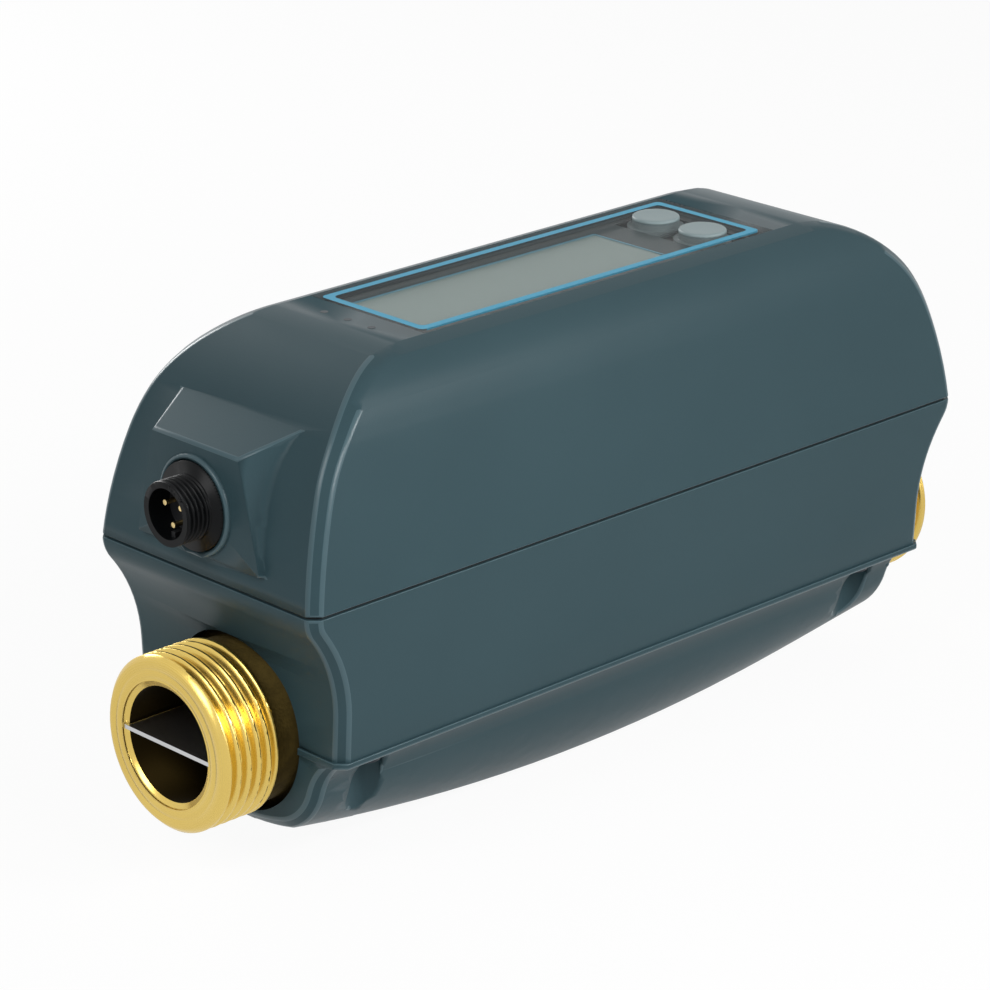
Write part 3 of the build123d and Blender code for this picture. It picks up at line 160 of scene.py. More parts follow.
def new_group(name: str, kind: str, inputs: list[tuple], outputs: list[tuple]) -> Tree:
    """An empty node group with named sockets.

    Args:
        name: the group's name.
        kind: the tree's type.
        inputs: (name, socket type, default) for each input.
        outputs: (name, socket type) for each output.

    Returns:
        The group, wrapped.
    """
    group = bpy.data.node_groups.new(name, kind)
    for label, socket_type, default in inputs:
        socket = group.interface.new_socket(name=label, in_out="INPUT", socket_type=socket_type)
        if default is not None:
            socket.default_value = default
    for label, socket_type in outputs:
        group.interface.new_socket(name=label, in_out="OUTPUT", socket_type=socket_type)
    return Tree(group)


FLOAT = "NodeSocketFloat"
COLOUR = "NodeSocketColor"
INTEGER = "NodeSocketInt"
VECTOR = "NodeSocketVector"
GEOMETRY = "NodeSocketGeometry"
MATERIAL = "NodeSocketMaterial"


def grain_group() -> bpy.types.NodeTree:
    """The fine grain of a moulded or cast surface: a height and a slow drift of colour.

    Returns:
        The group, with inputs Grain Size, Drift Size, Light and Dark.
    """
    tree = new_group(
        "surface grain",
        "ShaderNodeTree",
        [
            ("Grain Size", FLOAT, 0.3 * MM),
            ("Drift Size", FLOAT, 30 * MM),
            ("Light", COLOUR, (0.5, 0.5, 0.5, 1)),
            ("Dark", COLOUR, (0.4, 0.4, 0.4, 1)),
        ],
        [("Color", COLOUR), ("Height", FLOAT), ("Mask", FLOAT)],
    )
    entry = tree.add("NodeGroupInput")
    place = tree.add("ShaderNodeTexCoord").outputs["Object"]
    fine_scale = tree.math("DIVIDE", 1.0, entry.outputs["Grain Size"])
    slow_scale = tree.math("DIVIDE", 1.0, entry.outputs["Drift Size"])
    fine = tree.add("ShaderNodeTexNoise", Vector=place, Scale=fine_scale, Detail=2.0)
    slow = tree.add("ShaderNodeTexNoise", Vector=place, Scale=slow_scale, Detail=3.0)
    blend = tree.add(
        "ShaderNodeMix",
        {"data_type": "RGBA"},
        i0=slow.outputs["Fac"],
        i6=entry.outputs["Dark"],
        i7=entry.outputs["Light"],
    )
    leave = tree.add("NodeGroupOutput")
    tree.link(blend.outputs[2], leave.inputs["Color"])
    tree.link(fine.outputs["Fac"], leave.inputs["Height"])
    tree.link(slow.outputs["Fac"], leave.inputs["Mask"])
    return tree.tree


def turning_group() -> bpy.types.NodeTree:
    """Fine tool marks that run round the pipe's axis, as a lathe leaves them.

    Returns:
        The group, with the inputs Mark Width and Centre Height.
    """
    tree = new_group(
        "turning marks",
        "ShaderNodeTree",
        [("Mark Width", FLOAT, 0.15 * MM), ("Centre Height", FLOAT, 0.0)],
        [("Height", FLOAT), ("Mask", FLOAT)],
    )
    entry = tree.add("NodeGroupInput")
    place = tree.add("ShaderNodeTexCoord").outputs["Object"]
    parts = tree.add("ShaderNodeSeparateXYZ", i0=place)
    height = tree.math("SUBTRACT", parts.outputs["Z"], entry.outputs["Centre Height"])
    across = tree.math("MULTIPLY", parts.outputs["Y"], parts.outputs["Y"])
    radius = tree.math("SQRT", tree.math("MULTIPLY_ADD", height, height, across))
    scale = tree.math("DIVIDE", 1.0, entry.outputs["Mark Width"])
    ring = tree.add("ShaderNodeCombineXYZ", X=parts.outputs["X"], Y=radius)
    noise = tree.add("ShaderNodeTexNoise", Vector=ring.outputs[0], Scale=scale, Detail=1.0)
    leave = tree.add("NodeGroupOutput")
    tree.link(noise.outputs["Fac"], leave.inputs["Height"])
    tree.link(noise.outputs["Fac"], leave.inputs["Mask"])
    return tree.tree


GRAIN = grain_group()
TURNING = turning_group()


# Finishes


class Texture(Enum):
    """The kinds of fine surface relief that the finishes use."""

    GRAIN = "grain"
    TURNED = "turned"


@dataclass(frozen=True)
class Finish:
    """One surface finish and how it is made.

    The two colours drift into each other over the piece, and the relief is a bump.
    """

    name: str
    light: Colour
    dark: Colour
    roughness: float = 0.5
    roughness_spread: float = 0.06
    metallic: float = 0.0
    texture: Texture = Texture.GRAIN
    grain_size: float = 0.35 * MM
    drift_size: float = 40 * MM
    relief: float = 0.08
    relief_depth: float = 0.05 * MM
    specular: float = 0.5
    coat: float = 0.0
    centre_height: float = 0.0

    def material(self) -> bpy.types.Material:
        """The Blender material of this finish, made once.

        Returns:
            The material.
        """
        made = bpy.data.materials.get(self.name)
        if made is not None:
            return made
        made = bpy.data.materials.new(self.name)
        made.use_nodes = True
        tree = Tree(made.node_tree)
        shader = made.node_tree.nodes["Principled BSDF"]
        colour = tree.add(
            "ShaderNodeGroup",
            {"node_tree": GRAIN},
            Grain_Size=self.grain_size,
            Drift_Size=self.drift_size,
            Light=(*self.light, 1),
            Dark=(*self.dark, 1),
        )
        relief = colour
        if self.texture is Texture.TURNED:
            relief = tree.add(
                "ShaderNodeGroup",
                {"node_tree": TURNING},
                Mark_Width=self.grain_size,
                Centre_Height=self.centre_height,
            )
        low = self.roughness - self.roughness_spread
        rough = tree.add(
            "ShaderNodeMapRange",
            Value=relief.outputs["Mask"],
            To_Min=low,
            To_Max=self.roughness + self.roughness_spread,
        )
        bump = tree.add(
            "ShaderNodeBump",
            Strength=self.relief,
            Distance=self.relief_depth,
            Height=relief.outputs["Height"],
        )
        tree.link(colour.outputs["Color"], shader.inputs["Base Color"])
        tree.link(rough.outputs[0], shader.inputs["Roughness"])
        tree.link(bump.outputs["Normal"], shader.inputs["Normal"])
        shader.inputs["Metallic"].default_value = self.metallic
        shader.inputs["Specular IOR Level"].default_value = self.specular
        shader.inputs["Coat Weight"].default_value = self.coat
        return made


@dataclass(frozen=True)
class GlassFinish:
    """A tinted clear pane."""

    name: str
    tint: Colour
    cover: float = 0.2
    roughness: float = 0.12
    ior: float = 1.49

    def material(self) -> bpy.types.Material:
        """The Blender material of this finish, made once.

        Returns:
            The material.
        """
        made = bpy.data.materials.get(self.name)
        if made is not None:
            return made
        made = bpy.data.materials.new(self.name)
        made.use_nodes = True
        shader = made.node_tree.nodes["Principled BSDF"]
        tree = Tree(made.node_tree)
        colour = tree.add(
            "ShaderNodeGroup",
            {"node_tree": GRAIN},
            Light=(*self.tint, 1),
            Dark=(*self.tint, 1),
        )
        tree.link(colour.outputs["Color"], shader.inputs["Base Color"])
        shader.inputs["Roughness"].default_value = self.roughness
        shader.inputs["IOR"].default_value = self.ior
        shader.inputs["Alpha"].default_value = self.cover
        shader.inputs["Metallic"].default_value = 0.0
        shader.inputs["Transmission Weight"].default_value = 0.0
        return made


HOUSING = Finish(
    "slate blue housing",
    light=linear(53, 74, 80),
    dark=linear(47, 67, 73),
    roughness=0.34,
    grain_size=0.3 * MM,
    relief=0.3,
    relief_depth=0.05 * MM,
    specular=0.1,
)
# Painted highlight: the rounded edges get a lighter colour that stands in for the highlight lines
# along them, with a little less roughness and more specular than the housing.
HOUSING_EDGE_HIGHLIGHT = Finish(
    "housing edge painted highlight",
    light=linear(66, 89, 96),
    dark=linear(58, 81, 88),
    roughness=0.3,
    grain_size=0.3 * MM,
    relief=0.2,
    relief_depth=0.05 * MM,
    specular=0.3,
)
BRASS = Finish(
    "turned brass",
    light=linear(228, 200, 114),
    dark=linear(204, 174, 90),
    roughness=0.26,
    metallic=1.0,
    texture=Texture.TURNED,
    grain_size=0.12 * MM,
    relief=0.12,
    relief_depth=0.02 * MM,
)
CAST_BRASS = Finish(
    "cast brass",
    light=linear(74, 62, 30),
    dark=linear(32, 26, 12),
    roughness=0.6,
    metallic=1.0,
    grain_size=0.8 * MM,
    drift_size=3 * MM,
    relief=0.7,
    relief_depth=0.2 * MM,
)
# Painted shade: the inside of the bore is darkened to stand in for the shade that falls deep in
# it.
BORE_PAINTED_SHADE = Finish(
    "bore painted shade",
    light=linear(30, 23, 8),
    dark=linear(18, 13, 4),
    roughness=0.5,
    metallic=1.0,
    drift_size=8 * MM,
    relief=0.2,
)
STEEL = Finish(
    "bright steel",
    light=linear(205, 206, 206),
    dark=linear(188, 189, 190),
    roughness=0.3,
    metallic=1.0,
    texture=Texture.TURNED,
    grain_size=0.1 * MM,
    relief_depth=0.02 * MM,
)
# Painted shade: the screw steel is darkened to stand in for the shade in the pockets the screws
# sit in.
SCREW_STEEL_PAINTED_SHADE = Finish(
    "screw steel painted shade",
    light=linear(66, 70, 74),
    dark=linear(50, 54, 58),
    roughness=0.42,
    metallic=1.0,
    relief_depth=0.02 * MM,
)
CONNECTOR_METAL = Finish(
    "black connector metal",
    light=linear(11, 13, 15),
    dark=linear(7, 8, 9),
    roughness=0.36,
    grain_size=0.4 * MM,
    specular=0.12,
)
CONTACT = Finish(
    "plated contact",
    light=linear(228, 204, 148),
    dark=linear(216, 190, 132),
    roughness=0.25,
    metallic=1.0,
)
RUBBER = Finish(
    "black rubber", light=linear(34, 36, 37), dark=linear(26, 28, 29), roughness=0.75
)
BLACK_PLASTIC = Finish(
    "black plastic", light=linear(32, 33, 35), dark=linear(25, 26, 28), roughness=0.45
)
WHITE_PLASTIC = Finish(
    "white plastic", light=linear(232, 232, 228), dark=linear(222, 222, 218), roughness=0.45
)
SEAT_PLASTIC = Finish(
    "seat plastic", light=linear(240, 240, 238), dark=linear(232, 232, 230), roughness=0.4
)
GEAR_PLASTIC = Finish(
    "gear plastic", light=linear(232, 228, 208), dark=linear(222, 217, 196), roughness=0.42
)
CIRCUIT_BOARD = Finish(
    "circuit board", light=linear(28, 108, 62), dark=linear(20, 92, 52), roughness=0.4
)
CELL_WRAP = Finish(
    "cell wrap", light=linear(214, 176, 66), dark=linear(204, 164, 54), roughness=0.35
)
TRIM_BLUE = Finish(
    "blue trim",
    light=linear(34, 152, 186),
    dark=linear(26, 138, 172),
    roughness=0.35,
    relief=0.04,
    specular=0.2,
)
LINE_BLUE = Finish(
    "light blue line", light=linear(108, 180, 205), dark=linear(98, 170, 196), roughness=0.4
)
LCD = Finish(
    "display grey",
    light=linear(168, 190, 184),
    dark=linear(160, 183, 176),
    roughness=0.3,
    drift_size=60 * MM,
    relief=0.03,
)
MASK_PRINT = Finish(
    "dark window print", light=linear(50, 68, 70), dark=linear(44, 60, 62), roughness=0.5
)
KEY_GREY = Finish(
    "key grey",
    light=linear(128, 144, 146),
    dark=linear(118, 134, 136),
    roughness=0.45,
    grain_size=0.25 * MM,
    relief=0.15,
)
DOT_DARK = Finish(
    "dark dots", light=linear(30, 40, 45), dark=linear(26, 35, 40), roughness=0.5
)
GLASS = GlassFinish("tinted window", tint=linear(52, 62, 64))

SLOT_FINISHES: dict[str, Finish | GlassFinish] = {
    "housing": HOUSING,
    "brass": BRASS,
    "steel": STEEL,
    "rubber": RUBBER,
    "window_glass": GLASS,
    "trim_blue": TRIM_BLUE,
    "key_grey": KEY_GREY,
    "lcd": LCD,
    "black_plastic": BLACK_PLASTIC,
    "connector_metal": CONNECTOR_METAL,
    "contact": CONTACT,
    "circuit_board": CIRCUIT_BOARD,
    "white_plastic": WHITE_PLASTIC,
    "seat_plastic": SEAT_PLASTIC,
    "gear_plastic": GEAR_PLASTIC,
    "cell_wrap": CELL_WRAP,
}


# Meshes


def new_piece(name: str, mesh: bpy.types.Mesh) -> bpy.types.Object:
    """An object at the origin that shows a mesh.

    Args:
        name: the piece's name.
        mesh: its mesh, in the row frame.

    Returns:
        The object, linked to the scene.
    """
    piece = bpy.data.objects.new(name, mesh)
    bpy.context.scene.collection.objects.link(piece)
    return piece


def mesh_from(name: str, build: Callable[[bmesh.types.BMesh], None]) -> bpy.types.Mesh:
    """A mesh made by a function that fills a bmesh, with its faces turned outwards.

    Args:
        name: the mesh's name.
        build: the function that fills the bmesh.

    Returns:
        The finished mesh.
    """
    work = bmesh.new()
    build(work)
    bmesh.ops.remove_doubles(work, verts=work.verts, dist=WELD)
    bmesh.ops.recalc_face_normals(work, faces=work.faces)
    mesh = bpy.data.meshes.new(name)
    work.to_mesh(mesh)
    work.free()
    smooth(mesh)
    return mesh


def smooth(mesh: bpy.types.Mesh) -> None:
    """Shades a mesh smooth, with its sharper edges kept."""
    mesh.shade_smooth()
    mesh.set_sharp_from_angle(angle=SMOOTH_ANGLE)


def copied_node(node: str, name: str) -> bpy.types.Mesh:
    """A merged copy of a CAD node's mesh.

    Args:
        node: the CAD node.
        name: the new mesh's name.

    Returns:
        The copy, with its loose triangles joined.
    """
    work = bmesh.new()
    work.from_mesh(frame["nodes"][node].data)
    bmesh.ops.remove_doubles(work, verts=work.verts, dist=WELD)
    mesh = bpy.data.meshes.new(name)
    work.to_mesh(mesh)
    work.free()
    smooth(mesh)
    return mesh


def evaluated(piece: bpy.types.Object, name: str) -> bpy.types.Mesh:
    """The mesh that an object's modifiers give.

    Args:
        piece: the object.
        name: the new mesh's name.

    Returns:
        A plain mesh.
    """
    graph = bpy.context.evaluated_depsgraph_get()
    mesh = bpy.data.meshes.new_from_object(piece.evaluated_get(graph), depsgraph=graph)
    mesh.name = name
    return mesh


def lathed(name: str, profile: Profile, x: float, y: float, steps: int = 64) -> bpy.types.Mesh:
    """A solid turned about an upright axis.

    Args:
        name: the mesh's name.
        profile: (radius, height) points from the axis round to the axis.
        x: where the axis stands.
        y: where the axis stands.
        steps: the number of faces round it.

    Returns:
        The closed mesh.
    """

    def build(work: bmesh.types.BMesh) -> None:
        """Adds rings of vertices and joins them.

        Args:
            work: the mesh to fill.
        """
        rings = []
        for radius, height in profile:
            ring = []
            for step in range(steps):
                angle = 2 * pi * step / steps
                place = (x + radius * cos(angle), y + radius * sin(angle), height)
                ring.append(work.verts.new(place))
            rings.append(ring)
        for low, high in zip(rings, rings[1:]):
            for step in range(steps):
                after = (step + 1) % steps
                work.faces.new((low[step], low[after], high[after], high[step]))

    return mesh_from(name, build)


def quarter_round(start: tuple[float, float], radius: float, steps: int = 5) -> Profile:
    """The points of a quarter round that starts upright and ends level, towards the axis.

    Args:
        start: where the round starts.
        radius: its radius.
        steps: how many straight parts it has.

    Returns:
        The points, both ends among them.
    """
    points = []
    for step in range(steps + 1):
        angle = pi / 2 * step / steps
        points.append((start[0] - radius * (1 - cos(angle)), start[1] + radius * sin(angle)))
    return points


def frame_plan(
    low: Vector, high: Vector, width: float, corner: float, steps: int = 6
) -> tuple[Profile, Profile]:
    """The outer and inner outlines of a flat rectangular frame with rounded corners.

    Args:
        low: the lower corner of the plan, X and Y.
        high: the upper corner.
        width: the frame's width.
        corner: the radius of the outer corners.
        steps: straight parts in each corner.

    Returns:
        The outer and the inner outline as lists of (x, y).
    """
    outlines = []
    for inset in (0.0, width):
        radius = max(corner - inset / 2, corner / 2)
        points = []
        for index, (side_x, side_y) in enumerate(((1, 1), (-1, 1), (-1, -1), (1, -1))):
            centre_x = (high.x - inset - radius) if side_x > 0 else (low.x + inset + radius)
            centre_y = (high.y - inset - radius) if side_y > 0 else (low.y + inset + radius)
            for step in range(steps + 1):
                angle = pi / 2 * (index + step / steps)
                points.append((centre_x + radius * cos(angle), centre_y + radius * sin(angle)))
        outlines.append(points)
    return outlines[0], outlines[1]


def flat_frame(
    name: str, outer: Profile, inner: Profile, bottom: float, top: float
) -> bpy.types.Mesh:
    """A flat frame between two outlines that have the same number of points.

    Args:
        name: the mesh's name.
        outer: the outer outline.
        inner: the inner outline.
        bottom: the height of its underside.
        top: the height of its upper side.

    Returns:
        The closed mesh.
    """

    def build(work: bmesh.types.BMesh) -> None:
        """Joins the four rings of vertices.

        Args:
            work: the mesh to fill.
        """
        rings = []
        for outline, height in ((outer, bottom), (outer, top), (inner, top), (inner, bottom)):
            rings.append([work.verts.new((x, y, height)) for x, y in outline])
        count = len(outer)
        for index, ring in enumerate(rings):
            following = rings[(index + 1) % len(rings)]
            for step in range(count):
                after = (step + 1) % count
                work.faces.new((ring[step], ring[after], following[after], following[step]))

    return mesh_from(name, build)


# Threads


def thread_tree() -> bpy.types.NodeTree:
    """A geometry tree that makes the tool for cutting a thread: a tube with a helical inside.

    The rows of a grid become the tube's inside. Three rows past them close it round the
    outside, back to the first row.

    Returns:
        The tree.
    """
    half, closing_rows, flank_share = 0.5, 3.0, 0.94
    tree = new_group(
        "thread tool",
        "GeometryNodeTree",
        [
            ("Crest Radius", FLOAT, 16 * MM),
            ("Groove Depth", FLOAT, 1.4 * MM),
            ("Pitch", FLOAT, 2.3 * MM),
            ("Start", FLOAT, 0.0),
            ("Length", FLOAT, 12 * MM),
            ("Outer Radius", FLOAT, 18 * MM),
            ("Run Out", FLOAT, 0.8 * MM),
            ("Centre", VECTOR, (0, 0, 0)),
            ("Length Steps", INTEGER, 60),
            ("Turn Steps", INTEGER, 96),
            ("Material", MATERIAL, None),
        ],
        [("Geometry", GEOMETRY)],
    )
    entry = tree.add("NodeGroupInput").outputs
    steps = entry["Length Steps"]
    rows = tree.math("ADD", steps, closing_rows + 1)
    columns = tree.math("ADD", entry["Turn Steps"], 1.0)
    grid = tree.add(
        "GeometryNodeMeshGrid", Size_X=1.0, Size_Y=1.0, Vertices_X=rows, Vertices_Y=columns
    )
    place = tree.add("ShaderNodeSeparateXYZ", i0=tree.add("GeometryNodeInputPosition").outputs[0])
    row_share = tree.math("ADD", place.outputs["X"], half)
    turn_share = tree.math("ADD", place.outputs["Y"], half)
    last_row = tree.math("ADD", steps, closing_rows)
    row = tree.math("ROUND", tree.math("MULTIPLY", row_share, last_row))
    past_inside = tree.math("GREATER_THAN", row, tree.math("ADD", steps, half))
    past_end = tree.math("GREATER_THAN", row, tree.math("ADD", steps, 1 + half))
    back_inside = tree.math("GREATER_THAN", row, tree.math("ADD", steps, 2 + half))
    along = tree.math("MINIMUM", tree.math("DIVIDE", row, steps), 1.0)
    along = tree.math("MULTIPLY", along, tree.math("SUBTRACT", 1.0, past_end))
    x = tree.math("MULTIPLY_ADD", along, entry["Length"], entry["Start"])
    turns = tree.math("DIVIDE", x, entry["Pitch"])
    phase = tree.math("FRACT", tree.math("SUBTRACT", turns, turn_share))
    ridge = tree.math("ABSOLUTE", tree.math("MULTIPLY_ADD", phase, 2.0, -1.0))
    flank = tree.add(
        "ShaderNodeMapRange",
        {"interpolation_type": "SMOOTHSTEP"},
        Value=ridge,
        From_Min=0.0,
        From_Max=flank_share,
    )
    sink = tree.math("SUBTRACT", 1.0, flank.outputs[0])
    sink = tree.math("MULTIPLY", sink, entry["Groove Depth"])
    from_start = tree.math("MULTIPLY", along, entry["Length"])
    to_end = tree.math("SUBTRACT", entry["Length"], from_start)
    fade = tree.math("DIVIDE", tree.math("MINIMUM", from_start, to_end), entry["Run Out"])
    sink = tree.math("MULTIPLY", sink, tree.math("MINIMUM", fade, 1.0))
    threaded = tree.math("SUBTRACT", entry["Crest Radius"], sink)
    outside = tree.math("SUBTRACT", past_inside, back_inside)
    extra = tree.math("SUBTRACT", entry["Outer Radius"], threaded)
    radius = tree.math("MULTIPLY_ADD", outside, extra, threaded)
    angle = tree.math("MULTIPLY", turn_share, 2 * pi)
    y = tree.math("MULTIPLY", radius, tree.math("COSINE", angle))
    z = tree.math("MULTIPLY", radius, tree.math("SINE", angle))
    spot = tree.add("ShaderNodeCombineXYZ", X=x, Y=y, Z=z)
    shifted = tree.add(
        "ShaderNodeVectorMath", {"operation": "ADD"}, i0=spot.outputs[0], i1=entry["Centre"]
    )
    moved = tree.add(
        "GeometryNodeSetPosition", Geometry=grid.outputs[0], Position=shifted.outputs[0]
    )
    closed = tree.add("GeometryNodeMergeByDistance", Geometry=moved.outputs[0], Distance=WELD)
    plain = tree.add("GeometryNodeRealizeInstances", Geometry=closed.outputs[0])
    dressed = tree.add(
        "GeometryNodeSetMaterial", Geometry=plain.outputs[0], Material=entry["Material"]
    )
    leave = tree.add("NodeGroupOutput")
    tree.link(dressed.outputs[0], leave.inputs["Geometry"])
    return tree.tree


def run_tree(
    tree: bpy.types.NodeTree, name: str, values: dict[str, Any], points: list | None = None
) -> bpy.types.Mesh:
    """The mesh that a geometry tree makes with the given inputs.

    Args:
        tree: the geometry tree.
        name: the new mesh's name.
        values: a value for each named input.
        points: places that the tree's geometry input gets as vertices.

    Returns:
        A plain mesh.
    """
    base = bpy.data.meshes.new(name)
    base.from_pydata(points or [], [], [])
    carrier = new_piece(name, base)
    modifier = carrier.modifiers.new(name, "NODES")
    modifier.node_group = tree
    for item in tree.interface.items_tree:
        if item.in_out == "INPUT" and item.name in values:
            modifier[item.identifier] = values[item.name]
    mesh = evaluated(carrier, name)
    carrier.modifiers.remove(modifier)
    bpy.data.objects.remove(carrier)
    return mesh


@dataclass
class Thread:
    """A helical thread that is cut in a round end of a CAD node's copy."""

    crest_radius: float
    depth: float
    pitch: float
    start: float
    length: float
    centre_height: float = 0.0
    length_steps: int = 72
    turn_steps: int = 128
    outer_reach: float = 1.2 * MM

    def tool(self, name: str, tree: bpy.types.NodeTree) -> bpy.types.Object:
        """The cutting tool as an object.

        Args:
            name: the tool's name.
            tree: the geometry tree that makes it.

        Returns:
            The object.
        """
        values = {
            "Crest Radius": self.crest_radius,
            "Groove Depth": self.depth,
            "Pitch": self.pitch,
            "Start": self.start,
            "Length": self.length,
            "Outer Radius": self.crest_radius + self.outer_reach,
            "Centre": (0.0, 0.0, self.centre_height),
            "Length Steps": self.length_steps,
            "Turn Steps": self.turn_steps,
            "Material": BRASS.material(),
        }
        made = run_tree(tree, name, values)
        work = bmesh.new()
        work.from_mesh(made)
        bmesh.ops.recalc_face_normals(work, faces=work.faces)
        work.to_mesh(made)
        work.free()
        return new_piece(name, made)


def ring_cutter(name: str, loops: list[Profile], steps: int = 128) -> bpy.types.Object:
    """A tool for turning work: one closed ring about the pipe's axis for each loop.

    Its faces start half a step round, so that their edges keep off the middle planes.

    Args:
        name: the tool's name.
        loops: closed outlines of (x, radius) points, which don't touch each other.
        steps: the number of faces round the axis.

    Returns:
        The tool as an object.
    """

    def build(work: bmesh.types.BMesh) -> None:
        """Turns each outline about the axis.

        Args:
            work: the mesh to fill.
        """
        half_step = 0.5
        for loop in loops:
            rows = []
            for step in range(steps):
                angle = 2 * pi * (step + half_step) / steps
                across, up = cos(angle), sin(angle)
                points = [(x, radius * across, radius * up) for x, radius in loop]
                rows.append([work.verts.new(point) for point in points])
            for step, row in enumerate(rows):
                following = rows[(step + 1) % steps]
                for index in range(len(loop)):
                    after = (index + 1) % len(loop)
                    work.faces.new((row[index], row[after], following[after], following[index]))

    return new_piece(name, mesh_from(name, build))


@dataclass
class PipeEnd:
    """How the free end of a brass piece is turned: its nose, its face and its collar."""

    thread_radius: float = 16.62 * MM
    nose_round: float = 1.5 * MM
    bore: float = 10.0 * MM
    bore_bevel: float = 0.6 * MM
    mark_radii: tuple[float, ...] = (12.3 * MM, 13.9 * MM)
    mark_width: float = 0.3 * MM
    mark_depth: float = 0.14 * MM
    collar_radius: float = 15.6 * MM
    collar_start: float = 13.25 * MM
    collar_end: float = 18.7 * MM
    over: float = 0.4 * MM
    reach: float = 18.2 * MM
    nose_steps: int = 8

    def cutter(self, name: str, end: float, inward: int) -> bpy.types.Object:
        """The tool that turns one pipe end.

        Args:
            name: the tool's name.
            end: the station of the end face.
            inward: 1 where the piece runs on towards +X from the face, or -1.

        Returns:
            The tool.
        """
        loops = [self.nose(), self.bevel(), self.collar()]
        loops += [self.mark(radius) for radius in self.mark_radii]
        placed = [[(end + inward * x, radius) for x, radius in loop] for loop in loops]
        return ring_cutter(name, placed)

    def nose(self) -> Profile:
        """The outline outside the rounded nose, from the face.

        Returns:
            The points.
        """
        centre = self.thread_radius - self.nose_round
        loop = [(-self.over, centre)]
        for step in range(self.nose_steps + 1):
            angle = pi / 2 * step / self.nose_steps
            x = self.nose_round * (1 - cos(angle))
            loop.append((x, centre + self.nose_round * sin(angle)))
        return loop + [(self.nose_round, self.reach), (-self.over, self.reach)]

    def bevel(self) -> Profile:
        """The outline of the bevel at the bore.

        Returns:
            The points.
        """
        inner, outer = self.bore - self.over, self.bore + self.bore_bevel
        return [
            (-self.over, inner),
            (-self.over, outer + self.over),
            (0.0, outer),
            (self.bore_bevel, self.bore),
            (self.bore_bevel, inner),
        ]

    def collar(self) -> Profile:
        """The outline round the collar.

        Returns:
            The points.
        """
        return [
            (self.collar_start, self.collar_radius),
            (self.collar_end, self.collar_radius),
            (self.collar_end, self.reach),
            (self.collar_start, self.reach),
        ]

    def mark(self, radius: float) -> Profile:
        """The outline of one fine groove in the end face.

        Args:
            radius: the groove's radius about the pipe's axis.

        Returns:
            The points.
        """
        half = self.mark_width / 2
        return [
            (-self.over, radius - half),
            (-self.over, radius + half),
            (0.0, radius + half),
            (self.mark_depth, radius),
            (0.0, radius - half),
        ]


class Surface(Enum):
    """How a part of a threaded piece is shown, with its place among the piece's finishes; the
    inside of the bore gets painted shade.
    """

    TURNED = 0
    CAST = 1
    BORE = 2


@dataclass
class ThreadedPiece:
    """A CAD node shown with real threads cut in it."""

    node: str
    threads: list[Thread]
    slot: str
    extra_tools: list[bpy.types.Object] = field(default_factory=list)
    body: str = "case"
    cast_from: float | None = None
    cast_to: float | None = None
    cast_radius: float = 13 * MM
    bore_radius: float = 11.2 * MM
    bore_inset: float = 0.9 * MM
    axis_height: float = 0.0
    finishes: tuple[Finish, ...] = (BRASS, CAST_BRASS, BORE_PAINTED_SHADE)

    def build(self, tree: bpy.types.NodeTree) -> bpy.types.Object:
        """Cuts the threads and dresses the piece.

        Args:
            tree: the geometry tree of the thread tool.

        Returns:
            The piece.
        """
        piece = new_piece(f"{self.node}_threaded", copied_node(self.node, f"{self.node} merged"))
        tools = [
            thread.tool(f"{self.node} tool {index}", tree)
            for index, thread in enumerate(self.threads)
        ]
        tools += self.extra_tools
        for tool in tools:
            cut = piece.modifiers.new("cut", "BOOLEAN")
            cut.operation = "DIFFERENCE"
            cut.solver = "EXACT"
            cut.object = tool
        mesh = evaluated(piece, f"{self.node} threaded")
        piece.modifiers.clear()
        for tool in tools:
            bpy.data.objects.remove(tool)
        piece.data = mesh
        smooth(mesh)
        mesh.materials.clear()
        for finish in self.finishes:
            mesh.materials.append(finish.material())
        low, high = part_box(self.node)
        for face in mesh.polygons:
            face.material_index = self.surface_at(face.center, low.x, high.x).value
        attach(piece, self.body)
        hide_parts(self.node)
        return piece

    def surface_at(self, place: Vector, start: float, end: float) -> Surface:
        """How the piece is shown at a place, with painted shade inside the bore.

        Args:
            place: the middle of a face.
            start: the piece's first station.
            end: the piece's last station.

        Returns:
            The kind of surface.
        """
        if self.cast_from is None or self.cast_to is None:
            return Surface.TURNED
        radius = hypot(place.y, place.z - self.axis_height)
        inside = start + self.bore_inset < place.x < end - self.bore_inset
        # The inside of the bore gets the painted shade.
        if inside and radius < self.bore_radius:
            return Surface.BORE
        if self.cast_from < place.x < self.cast_to and radius > self.cast_radius:
            return Surface.CAST
        return Surface.TURNED


# Sub-assemblies


